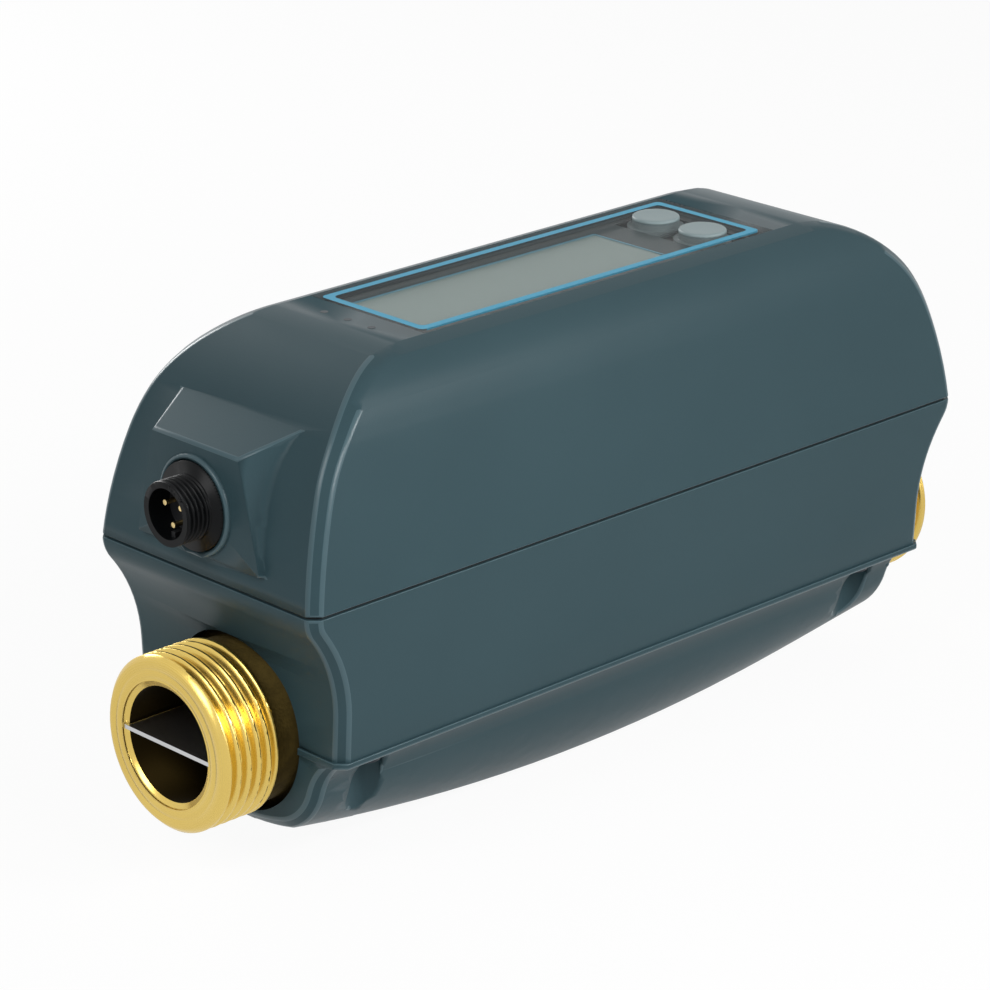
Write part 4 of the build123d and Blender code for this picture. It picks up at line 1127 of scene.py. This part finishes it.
@dataclass
class Housing:
    """The three plastic shells, with their outer edges softened as a mould leaves them."""

    edge_round: float = 0.55 * MM
    edge_segments: int = 3
    edge_angle: float = radians(20)
    flat_angle: float = radians(0.05)
    shade_angle: float = radians(40)
    parting_height: float = 29.8 * MM
    lower_joint_height: float = 0.0
    joint_reach: float = 0.3 * MM
    joint_share: float = 0.25
    rim_depth: float = 0.6 * MM
    step_out: float = 0.05 * MM
    least_area: float = 1e-4 * MM * MM
    least_turn: float = 0.2
    gap_share: float = 0.5
    most_rounds: int = 8
    repair_reach: float = 3 * MM
    nodes: tuple[str, ...] = ("upper_cover", "mid_case", "bottom_cover")
    # The last finish is the painted highlight on the rounded edges.
    finishes: tuple[Finish, ...] = (HOUSING, HOUSING_EDGE_HIGHLIGHT)

    def build(self) -> list[bpy.types.Object]:
        """Makes the three softened shells.

        Returns:
            The pieces.
        """
        whole = bmesh.new()
        for node in frame["nodes"].values():
            whole.from_mesh(node.data)
        surroundings = BVHTree.FromBMesh(whole)
        whole.free()
        return [self.soften(node, surroundings) for node in self.nodes]

    def soften(self, node: str, surroundings: BVHTree) -> bpy.types.Object:
        """One shell as a merged copy with rounded edges.

        Where the rounding of an edge folds the surface, that edge is left sharp.

        Args:
            node: the CAD node.
            surroundings: the surface of the whole model.

        Returns:
            The piece.
        """
        work = bmesh.new()
        work.from_mesh(frame["nodes"][node].data)
        bmesh.ops.remove_doubles(work, verts=work.verts, dist=WELD)
        surface = BVHTree.FromBMesh(work)
        self.join_flats(work)
        weights = work.edges.layers.float.new("bevel_weight_edge")
        chosen = []
        for edge in work.edges:
            bent = edge.is_convex and edge.calc_face_angle() > self.edge_angle
            if bent and self.is_outside(edge, surroundings):
                edge[weights] = self.weight(edge)
                chosen.append(edge)
        for step in range(self.most_rounds):
            mesh = self.rounded_mesh(work, f"{node} softened")
            spots = self.folds(mesh, surface)
            log.info("%s round %d: %d folds", node, step, len(spots))
            if not spots:
                break
            for spot in spots:
                self.leave_sharp(chosen, weights, spot)
        work.free()
        piece = new_piece(f"{node}_skin", mesh)
        mesh.shade_smooth()
        mesh.set_sharp_from_angle(angle=self.shade_angle)
        even = piece.modifiers.new("even shading", "WEIGHTED_NORMAL")
        even.mode = "FACE_AREA_WITH_ANGLE"
        even.keep_sharp = True
        piece.data = evaluated(piece, f"{node} skin")
        piece.modifiers.clear()
        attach(piece, "case")
        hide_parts(node)
        return piece

    def join_flats(self, work: bmesh.types.BMesh) -> None:
        """Joins the triangles of each flat face, but not across the middle plane.

        The cut along the middle plane opens the faces that go round a hole.

        Args:
            work: the shell's mesh.
        """
        whole = [*work.verts, *work.edges, *work.faces]
        cut = bmesh.ops.bisect_plane(
            work, geom=whole, dist=WELD, plane_co=(0, 0, 0), plane_no=(0, 1, 0)
        )
        for item in cut["geom_cut"]:
            if isinstance(item, bmesh.types.BMEdge):
                item.seam = True
        bmesh.ops.dissolve_limit(
            work,
            angle_limit=self.flat_angle,
            verts=work.verts,
            edges=work.edges,
            delimit={"SEAM"},
        )

    def is_outside(self, edge: bmesh.types.BMEdge, surroundings: BVHTree) -> bool:
        """Whether an edge looks out into the open.

        Args:
            edge: the edge.
            surroundings: the surface of the whole model.

        Returns:
            True where nothing stands before the edge.
        """
        out = edge.link_faces[0].normal + edge.link_faces[1].normal
        if out.length < WELD:
            return False
        out.normalize()
        middle = (edge.verts[0].co + edge.verts[1].co) / 2
        return surroundings.ray_cast(middle + out * self.step_out, out)[0] is None

    def weight(self, edge: bmesh.types.BMEdge) -> float:
        """The share of the full rounding that an edge gets.

        It is less where two shells meet, and nothing at the rim of the window's pocket.

        Args:
            edge: the edge.

        Returns:
            The share, from 0 to 1.
        """
        heights = [vertex.co.z for vertex in edge.verts]
        trim_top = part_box("window_trim")[1].z
        if min(heights) > trim_top - self.rim_depth:
            return 0.0
        for joint in (self.parting_height, self.lower_joint_height):
            if all(abs(height - joint) < self.joint_reach for height in heights):
                return self.joint_share
        return 1.0

    def rounded_mesh(self, work: bmesh.types.BMesh, name: str) -> bpy.types.Mesh:
        """The mesh with its weighted edges rounded, in triangles.

        The rounded edges get the last of the finishes, their painted highlight.

        Args:
            work: the shell's mesh.
            name: the new mesh's name.

        Returns:
            The rounded mesh.
        """
        base = bpy.data.meshes.new(name)
        work.to_mesh(base)
        for finish in self.finishes:
            base.materials.append(finish.material())
        carrier = new_piece(name, base)
        bevel = carrier.modifiers.new("soft edges", "BEVEL")
        # the bevelled faces take the painted highlight
        bevel.material = len(self.finishes) - 1
        bevel.width = self.edge_round
        bevel.segments = self.edge_segments
        bevel.limit_method = "WEIGHT"
        bevel.use_clamp_overlap = False
        bevel.miter_outer = "MITER_ARC"
        carrier.modifiers.new("triangles", "TRIANGULATE")
        mesh = evaluated(carrier, name)
        bpy.data.objects.remove(carrier)
        return mesh

    def folds(self, mesh: bpy.types.Mesh, surface: BVHTree) -> list[Vector]:
        """The places where the rounded mesh leaves the shell's surface or folds over.

        Args:
            mesh: the rounded mesh.
            surface: the shell's own surface.

        Returns:
            The places.
        """
        most_gap = self.gap_share * self.edge_round
        spots = []
        for face in mesh.polygons:
            _, normal, _, gap = surface.find_nearest(face.center)
            turned = face.area > self.least_area and normal.dot(face.normal) < self.least_turn
            if turned or gap > most_gap:
                spots.append(face.center.copy())
        return spots

    def leave_sharp(self, edges: list, weights: Any, spot: Vector) -> None:
        """Takes the rounding from the rounded edge that is nearest to a fold.

        Args:
            edges: the edges that may be rounded.
            weights: the layer of their shares.
            spot: where the fold is.
        """
        nearest, least = None, self.repair_reach
        for edge in edges:
            if edge[weights] > 0:
                start, end = (vertex.co for vertex in edge.verts)
                foot, share = intersect_point_line(spot, start, end)
                if share < 0:
                    foot = start
                elif share > 1:
                    foot = end
                if (foot - spot).length < least:
                    nearest, least = edge, (foot - spot).length
        if nearest is not None:
            nearest[weights] = 0.0


@dataclass
class Pipework:
    """The brass pipe ends with their threads."""

    crest_radius: float = 16.66 * MM
    depth: float = 1.35 * MM
    pitch: float = 2.309 * MM
    thread_start: float = 1.1 * MM
    thread_end: float = 12.0 * MM
    cast_edge: float = 13.1 * MM
    end: PipeEnd = field(default_factory=PipeEnd)

    def build(self, tree: bpy.types.NodeTree) -> list[bpy.types.Object]:
        """Makes both brass pieces.

        Args:
            tree: the geometry tree of the thread tool.

        Returns:
            The pieces.
        """
        low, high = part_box("outlet_adapter")
        length = self.thread_end - self.thread_start
        inlet = Thread(self.crest_radius, self.depth, self.pitch, self.thread_start, length)
        outlet_start = high.x - self.thread_end
        outlet = Thread(self.crest_radius, self.depth, self.pitch, outlet_start, length)
        body = ThreadedPiece(
            "pipe_body",
            [inlet],
            "brass",
            extra_tools=[self.end.cutter("inlet turning", 0.0, 1)],
            cast_from=self.cast_edge,
            cast_to=high.x,
        )
        adapter = ThreadedPiece(
            "outlet_adapter",
            [outlet],
            "brass",
            extra_tools=[self.end.cutter("outlet turning", high.x, -1)],
            cast_from=low.x,
            cast_to=high.x - self.cast_edge,
        )
        return [body.build(tree), adapter.build(tree)]


@dataclass
class Connector:
    """The round signal connector's threaded shell."""

    crest_radius: float = 6.02 * MM
    depth: float = 0.58 * MM
    pitch: float = 1.0 * MM
    overrun: float = 0.3 * MM
    flange_front: float = 7.4 * MM

    def build(self, tree: bpy.types.NodeTree) -> bpy.types.Object:
        """Makes the threaded shell.

        Args:
            tree: the geometry tree of the thread tool.

        Returns:
            The piece.
        """
        low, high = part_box("connector_shell")
        height = (low.z + high.z) / 2
        length = self.flange_front - low.x + self.overrun / 2
        thread = Thread(
            self.crest_radius,
            self.depth,
            self.pitch,
            low.x - self.overrun,
            length,
            centre_height=height,
            length_steps=60,
            turn_steps=72,
        )
        shell = ThreadedPiece(
            "connector_shell",
            [thread],
            "connector_metal",
            axis_height=height,
            finishes=(CONNECTOR_METAL,),
        )
        return shell.build(tree)


@dataclass
class Window:
    """What lies under and around the window glass, and the two keys in it."""

    print_gap: float = 0.05 * MM
    print_thickness: float = 0.08 * MM
    line_width: float = 0.45 * MM
    line_corner: float = 0.5 * MM
    mask_margin: float = 2.2 * MM
    key_gap: float = 0.2 * MM
    key_round: float = 0.45 * MM
    key_dish: float = 0.12 * MM
    key_dish_shares: tuple[float, ...] = (0.75, 0.5, 0.25, 0.0)
    key_stem_radius: float = 2.4 * MM
    key_flange_width: float = 0.95 * MM
    key_flange_gap: float = 0.1 * MM
    key_flange_thickness: float = 0.9 * MM
    dot_radius: float = 0.75 * MM
    dot_rise: float = 0.03 * MM
    dot_from_window: float = 4.7 * MM
    dot_spacing: float = 6.3 * MM

    def build(self) -> list[bpy.types.Object]:
        """Makes the print, the line, the dots and the keys.

        Returns:
            The pieces.
        """
        pieces = [self.line(), self.mask()]
        pieces += [self.key(node) for node in ("near_key", "far_key")]
        pieces += [self.dot(index) for index in (-1, 0, 1)]
        return pieces

    def heights(self) -> tuple[float, float]:
        """The underside and upper side of the print below the glass.

        Returns:
            The two heights.
        """
        glass_low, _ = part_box("window_glass")
        top = glass_low.z - self.print_gap
        return top - self.print_thickness, top

    def line(self) -> bpy.types.Object:
        """The thin light line round the display.

        Returns:
            The piece.
        """
        low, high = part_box("lcd_panel")
        bottom, top = self.heights()
        outer, inner = frame_plan(low, high, self.line_width, self.line_corner)
        mesh = flat_frame("display line", outer, inner, bottom, top)
        mesh.materials.append(LINE_BLUE.material())
        piece = new_piece("display_line", mesh)
        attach(piece, "case")
        return piece

    def mask(self) -> bpy.types.Object:
        """The dark print on the back of the glass, open over the display and at the keys.

        Returns:
            The piece.
        """
        glass_low, glass_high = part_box("window_glass")
        low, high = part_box("lcd_panel")
        key_low, key_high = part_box("near_key")
        far_low, far_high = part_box("far_key")
        margin, gap = self.mask_margin, self.key_gap
        bottom, top = self.heights()
        outer_low = Vector((glass_low.x + margin, glass_low.y + margin, 0))
        outer_high = Vector((glass_high.x - margin, glass_high.y - margin, 0))

        def build(work: bmesh.types.BMesh) -> None:
            """Adds the print as strips round the display and round the two keys.

            Args:
                work: the mesh to fill.
            """
            left, right = low.x, high.x
            start, end = key_low.x - gap, key_high.x + gap
            strips = [
                (outer_low.x, outer_low.y, left, outer_high.y),
                (left, outer_low.y, right, low.y),
                (left, high.y, right, outer_high.y),
                (right, outer_low.y, start, outer_high.y),
                (start, outer_low.y, end, key_low.y - gap),
                (start, key_high.y + gap, end, far_low.y - gap),
                (start, far_high.y + gap, end, outer_high.y),
                (end, outer_low.y, outer_high.x, outer_high.y),
            ]
            for x0, y0, x1, y1 in strips:
                plan = ((x0, y0), (x1, y0), (x1, y1), (x0, y1))
                face = work.faces.new([work.verts.new((x, y, bottom)) for x, y in plan])
                raised = bmesh.ops.extrude_face_region(work, geom=[face])
                for item in raised["geom"]:
                    if isinstance(item, bmesh.types.BMVert):
                        item.co.z = top

        mesh = mesh_from("window print", build)
        mesh.materials.append(MASK_PRINT.material())
        piece = new_piece("window_print", mesh)
        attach(piece, "case")
        return piece

    def key(self, node: str) -> bpy.types.Object:
        """A key with a rounded rim and a slightly dished top.

        Args:
            node: the CAD node of the key.

        Returns:
            The piece.
        """
        low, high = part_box(node)
        centre_x, centre_y = (low.x + high.x) / 2, (low.y + high.y) / 2
        flange = (high.x - low.x) / 2
        glass_low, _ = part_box("window_glass")
        cap = flange - self.key_flange_width
        flange_top = glass_low.z - self.key_flange_gap
        flange_bottom = flange_top - self.key_flange_thickness
        profile: Profile = [
            (0.0, low.z),
            (self.key_stem_radius, low.z),
            (self.key_stem_radius, flange_bottom),
            (flange, flange_bottom),
            (flange, flange_top),
            (cap, flange_top),
        ]
        profile += quarter_round((cap, high.z - self.key_round), self.key_round)
        for share in self.key_dish_shares:
            reach = (cap - self.key_round) * share
            profile.append((reach, high.z - self.key_dish * (1 - share * share)))
        mesh = lathed(f"{node} cap", profile, centre_x, centre_y)
        mesh.materials.append(KEY_GREY.material())
        piece = new_piece(f"{node}_cap", mesh)
        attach(piece, node)
        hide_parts(node)
        return piece

    def dot(self, index: int) -> bpy.types.Object:
        """One of the three small dots on the cover before the window.

        Args:
            index: -1, 0 or 1 across the cover.

        Returns:
            The piece.
        """
        glass_low, glass_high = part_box("window_glass")
        top = glass_high.z + self.dot_rise
        bottom = glass_high.z - self.dot_rise
        profile = [(0.0, bottom), (self.dot_radius, bottom), (self.dot_radius, top), (0.0, top)]
        x = glass_low.x - self.dot_from_window
        mesh = lathed(f"dot {index + 2}", profile, x, index * self.dot_spacing, steps=24)
        mesh.materials.append(DOT_DARK.material())
        piece = new_piece(f"cover_dot_{index + 2}", mesh)
        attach(piece, "case")
        return piece


def screw_tree() -> bpy.types.NodeTree:
    """A geometry tree that sets one cross-recessed screw on each point.

    Returns:
        The tree.
    """
    head_sides, shank_sides, half, recess_share = 40, 24, 0.5, 1.2
    tree = new_group(
        "screw set",
        "GeometryNodeTree",
        [
            ("Geometry", GEOMETRY, None),
            ("Head Radius", FLOAT, 2.9 * MM),
            ("Head Height", FLOAT, 1.4 * MM),
            ("Shank Radius", FLOAT, 1.5 * MM),
            ("Shank Length", FLOAT, 14 * MM),
            ("Recess Width", FLOAT, 0.7 * MM),
            ("Recess Length", FLOAT, 3.2 * MM),
            ("Turn", VECTOR, (pi, 0, 0)),
            ("Material", MATERIAL, None),
        ],
        [("Geometry", GEOMETRY)],
    )
    entry = tree.add("NodeGroupInput").outputs
    head = tree.add(
        "GeometryNodeMeshCylinder",
        Vertices=head_sides,
        Radius=entry["Head Radius"],
        Depth=entry["Head Height"],
    )
    head_middle = tree.math("MULTIPLY", entry["Head Height"], half)
    head_up = tree.add("ShaderNodeCombineXYZ", Z=head_middle)
    head_there = tree.add(
        "GeometryNodeTransform", Geometry=head.outputs["Mesh"], Translation=head_up.outputs[0]
    )
    recess_depth = tree.math("MULTIPLY", entry["Head Height"], recess_share)
    first_size = tree.add(
        "ShaderNodeCombineXYZ",
        X=entry["Recess Length"],
        Y=entry["Recess Width"],
        Z=recess_depth,
    )
    second_size = tree.add(
        "ShaderNodeCombineXYZ",
        X=entry["Recess Width"],
        Y=entry["Recess Length"],
        Z=recess_depth,
    )
    recess_up = tree.add("ShaderNodeCombineXYZ", Z=entry["Head Height"])
    cutters = []
    for size in (first_size, second_size):
        bar = tree.add("GeometryNodeMeshCube", Size=size.outputs[0])
        there = tree.add(
            "GeometryNodeTransform", Geometry=bar.outputs["Mesh"], Translation=recess_up.outputs[0]
        )
        cutters.append(there)
    cut = tree.add("GeometryNodeMeshBoolean", {"operation": "DIFFERENCE"})
    tree.link(head_there.outputs[0], cut.inputs["Mesh 1"])
    for cutter in cutters:
        tree.link(cutter.outputs[0], cut.inputs["Mesh 2"])
    shank = tree.add(
        "GeometryNodeMeshCylinder",
        Vertices=shank_sides,
        Radius=entry["Shank Radius"],
        Depth=entry["Shank Length"],
    )
    shank_middle = tree.math("MULTIPLY", entry["Shank Length"], -half)
    shank_down = tree.add("ShaderNodeCombineXYZ", Z=shank_middle)
    shank_there = tree.add(
        "GeometryNodeTransform", Geometry=shank.outputs["Mesh"], Translation=shank_down.outputs[0]
    )
    whole = tree.add("GeometryNodeJoinGeometry")
    tree.link(cut.outputs[0], whole.inputs[0])
    tree.link(shank_there.outputs[0], whole.inputs[0])
    spread = tree.add(
        "GeometryNodeInstanceOnPoints",
        Points=entry["Geometry"],
        Instance=whole.outputs[0],
        Rotation=entry["Turn"],
    )
    plain = tree.add("GeometryNodeRealizeInstances", Geometry=spread.outputs[0])
    dressed = tree.add(
        "GeometryNodeSetMaterial", Geometry=plain.outputs[0], Material=entry["Material"]
    )
    leave = tree.add("NodeGroupOutput")
    tree.link(dressed.outputs[0], leave.inputs["Geometry"])
    return tree.tree


@dataclass
class CornerScrews:
    """Four screws at the corners of a CAD node's box, driven in from below."""

    node: str
    head_radius: float = 2.9 * MM
    head_height: float = 1.4 * MM
    shank_radius: float = 1.5 * MM

    def build(self, tree: bpy.types.NodeTree) -> bpy.types.Object:
        """Makes the set as one piece.

        Args:
            tree: the geometry tree of the screws.

        Returns:
            The piece.
        """
        low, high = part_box(self.node)
        seat = low.z + self.head_height
        points = [
            (x, y, seat)
            for x in (low.x + self.head_radius, high.x - self.head_radius)
            for y in (low.y + self.head_radius, high.y - self.head_radius)
        ]
        values = {
            "Head Radius": self.head_radius,
            "Head Height": self.head_height,
            "Shank Radius": self.shank_radius,
            "Shank Length": high.z - seat,
            "Turn": (pi, 0.0, 0.0),
            # the screws take the painted shade of their pockets
            "Material": SCREW_STEEL_PAINTED_SHADE.material(),
        }
        mesh = run_tree(tree, f"{self.node} set", values, points)
        smooth(mesh)
        piece = new_piece(f"{self.node}_set", mesh)
        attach(piece, "case")
        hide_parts(self.node)
        return piece


def dress_nodes() -> None:
    """Gives every CAD node the finish of its slot in the record."""
    for part in frame["record"]["subparts"]:
        finish = SLOT_FINISHES[part["material_slot"]]
        mesh = frame["nodes"][part["node"]].data
        if mesh.materials:
            for index in range(len(mesh.materials)):
                mesh.materials[index] = finish.material()
        else:
            mesh.materials.append(finish.material())


# Studio


@dataclass(frozen=True)
class Lamp:
    """A square soft lamp. Its place is taken from the point that it lights, in metres."""

    name: str
    place: tuple[float, float, float]
    size: float
    power: float

    def hang(self, target: Vector) -> None:
        """Hangs the lamp and aims it.

        Args:
            target: the point that it lights.
        """
        data = bpy.data.lights.new(self.name, "AREA")
        data.shape = "SQUARE"
        data.size = self.size
        data.energy = self.power
        lamp = bpy.data.objects.new(self.name, data)
        bpy.context.scene.collection.objects.link(lamp)
        away = Vector(self.place)
        lamp.location = target + away
        lamp.visible_camera = False
        lamp.rotation_mode = "QUATERNION"
        lamp.rotation_quaternion = (-away).to_track_quat("-Z", "Y")


@dataclass
class Studio:
    """The floor, the backdrop, the lamps and the camera."""

    azimuth: float = -44.01
    elevation: float = 20.56
    distance: float = 733.8 * MM
    target: tuple[float, float, float] = (81.53 * MM, 0.0, 26.33 * MM)
    lens: float = 141.26
    sensor: float = 36.0
    floor_size: float = 6.0
    floor_grey: float = 0.8
    floor_glow: float = 0.94
    world_light: float = 0.17
    lamps: tuple[Lamp, ...] = (
        Lamp("key lamp", (-0.06, -0.22, 0.11), size=0.08, power=0.22),
        Lamp("end lamp", (-0.65, -0.1, 0.5), size=0.4, power=2.8),
        Lamp("sheen lamp", (0.33, -0.62, 0.42), size=0.24, power=3.2),
        Lamp("side lamp", (0.4, -0.66, 0.16), size=0.2, power=0.5),
        Lamp("back lamp", (0.1, 0.7, 0.26), size=0.3, power=2.4),
    )

    def build(self) -> None:
        """Makes the whole studio."""
        self.floor()
        self.world()
        for lamp in self.lamps:
            lamp.hang(Vector(self.target))
        self.camera()

    def floor(self) -> None:
        """The pale floor under the object, which keeps the shadow."""
        low, _ = cad_bounds
        half = self.floor_size / 2

        def build(work: bmesh.types.BMesh) -> None:
            """Adds one level square."""
            corners = ((-half, -half), (half, -half), (half, half), (-half, half))
            work.faces.new([work.verts.new((x, y, low.z)) for x, y in corners])

        mesh = mesh_from("floor", build)
        material = bpy.data.materials.new("pale floor")
        material.use_nodes = True
        tree = Tree(material.node_tree)
        tree.tree.nodes.clear()
        seen = self.seen_rays(tree)
        share = tree.math("MULTIPLY", seen, self.floor_glow)
        grey = self.floor_grey
        matte = tree.add("ShaderNodeBsdfDiffuse", Color=(grey, grey, grey, 1))
        glow = tree.add("ShaderNodeEmission", Color=(1, 1, 1, 1), Strength=1.0)
        blend = tree.add("ShaderNodeMixShader", i0=share, i1=matte.outputs[0], i2=glow.outputs[0])
        leave = tree.add("ShaderNodeOutputMaterial")
        tree.link(blend.outputs[0], leave.inputs["Surface"])
        mesh.materials.append(material)
        new_piece("floor", mesh)

    def seen_rays(self, tree: Tree) -> Any:
        """A socket that is 1 for the rays that show the background.

        Args:
            tree: the tree that the nodes go in.

        Returns:
            The socket.
        """
        rays = tree.add("ShaderNodeLightPath").outputs
        seen = tree.math("MAXIMUM", rays["Is Camera Ray"], rays["Is Glossy Ray"])
        return tree.math("MAXIMUM", seen, rays["Is Transmission Ray"])

    def world(self) -> None:
        """The soft light from all round and the white background."""
        world = bpy.data.worlds.new("studio")
        bpy.context.scene.world = world
        world.use_nodes = True
        tree = Tree(world.node_tree)
        tree.tree.nodes.clear()
        soft = tree.add("ShaderNodeBackground", Color=(1, 1, 1, 1), Strength=self.world_light)
        white = tree.add("ShaderNodeBackground", Color=(1, 1, 1, 1), Strength=1.0)
        seen = self.seen_rays(tree)
        blend = tree.add("ShaderNodeMixShader", i0=seen, i1=soft.outputs[0], i2=white.outputs[0])
        leave = tree.add("ShaderNodeOutputWorld")
        tree.link(blend.outputs[0], leave.inputs["Surface"])

    def camera(self) -> None:
        """The camera at the photograph's viewing angle."""
        data = bpy.data.cameras.new("camera")
        data.lens = self.lens
        data.sensor_width = self.sensor
        camera = bpy.data.objects.new("camera", data)
        bpy.context.scene.collection.objects.link(camera)
        turn, rise = radians(self.azimuth), radians(self.elevation)
        back = Vector((sin(turn) * cos(rise), -cos(turn) * cos(rise), sin(rise)))
        camera.location = Vector(self.target) + back * self.distance
        camera.rotation_mode = "QUATERNION"
        camera.rotation_quaternion = (-back).to_track_quat("-Z", "Y")
        bpy.context.scene.camera = camera


def main() -> None:
    """Builds the sub-assemblies in order and reports each piece."""
    logging.basicConfig(level=logging.INFO, format="%(name)s: %(message)s")
    dress_nodes()
    threads = thread_tree()
    screws = screw_tree()
    pieces = Housing().build()
    pieces += Pipework().build(threads)
    pieces.append(Connector().build(threads))
    pieces += Window().build()
    pieces += [CornerScrews(node).build(screws) for node in ("case_screws", "cover_screws")]
    for piece in pieces:
        log.info("%s has %d faces", piece.name, len(piece.data.polygons))
    Studio().build()
    bpy.context.scene.view_settings.view_transform = "Standard"


if __name__ == "__main__":
    main()
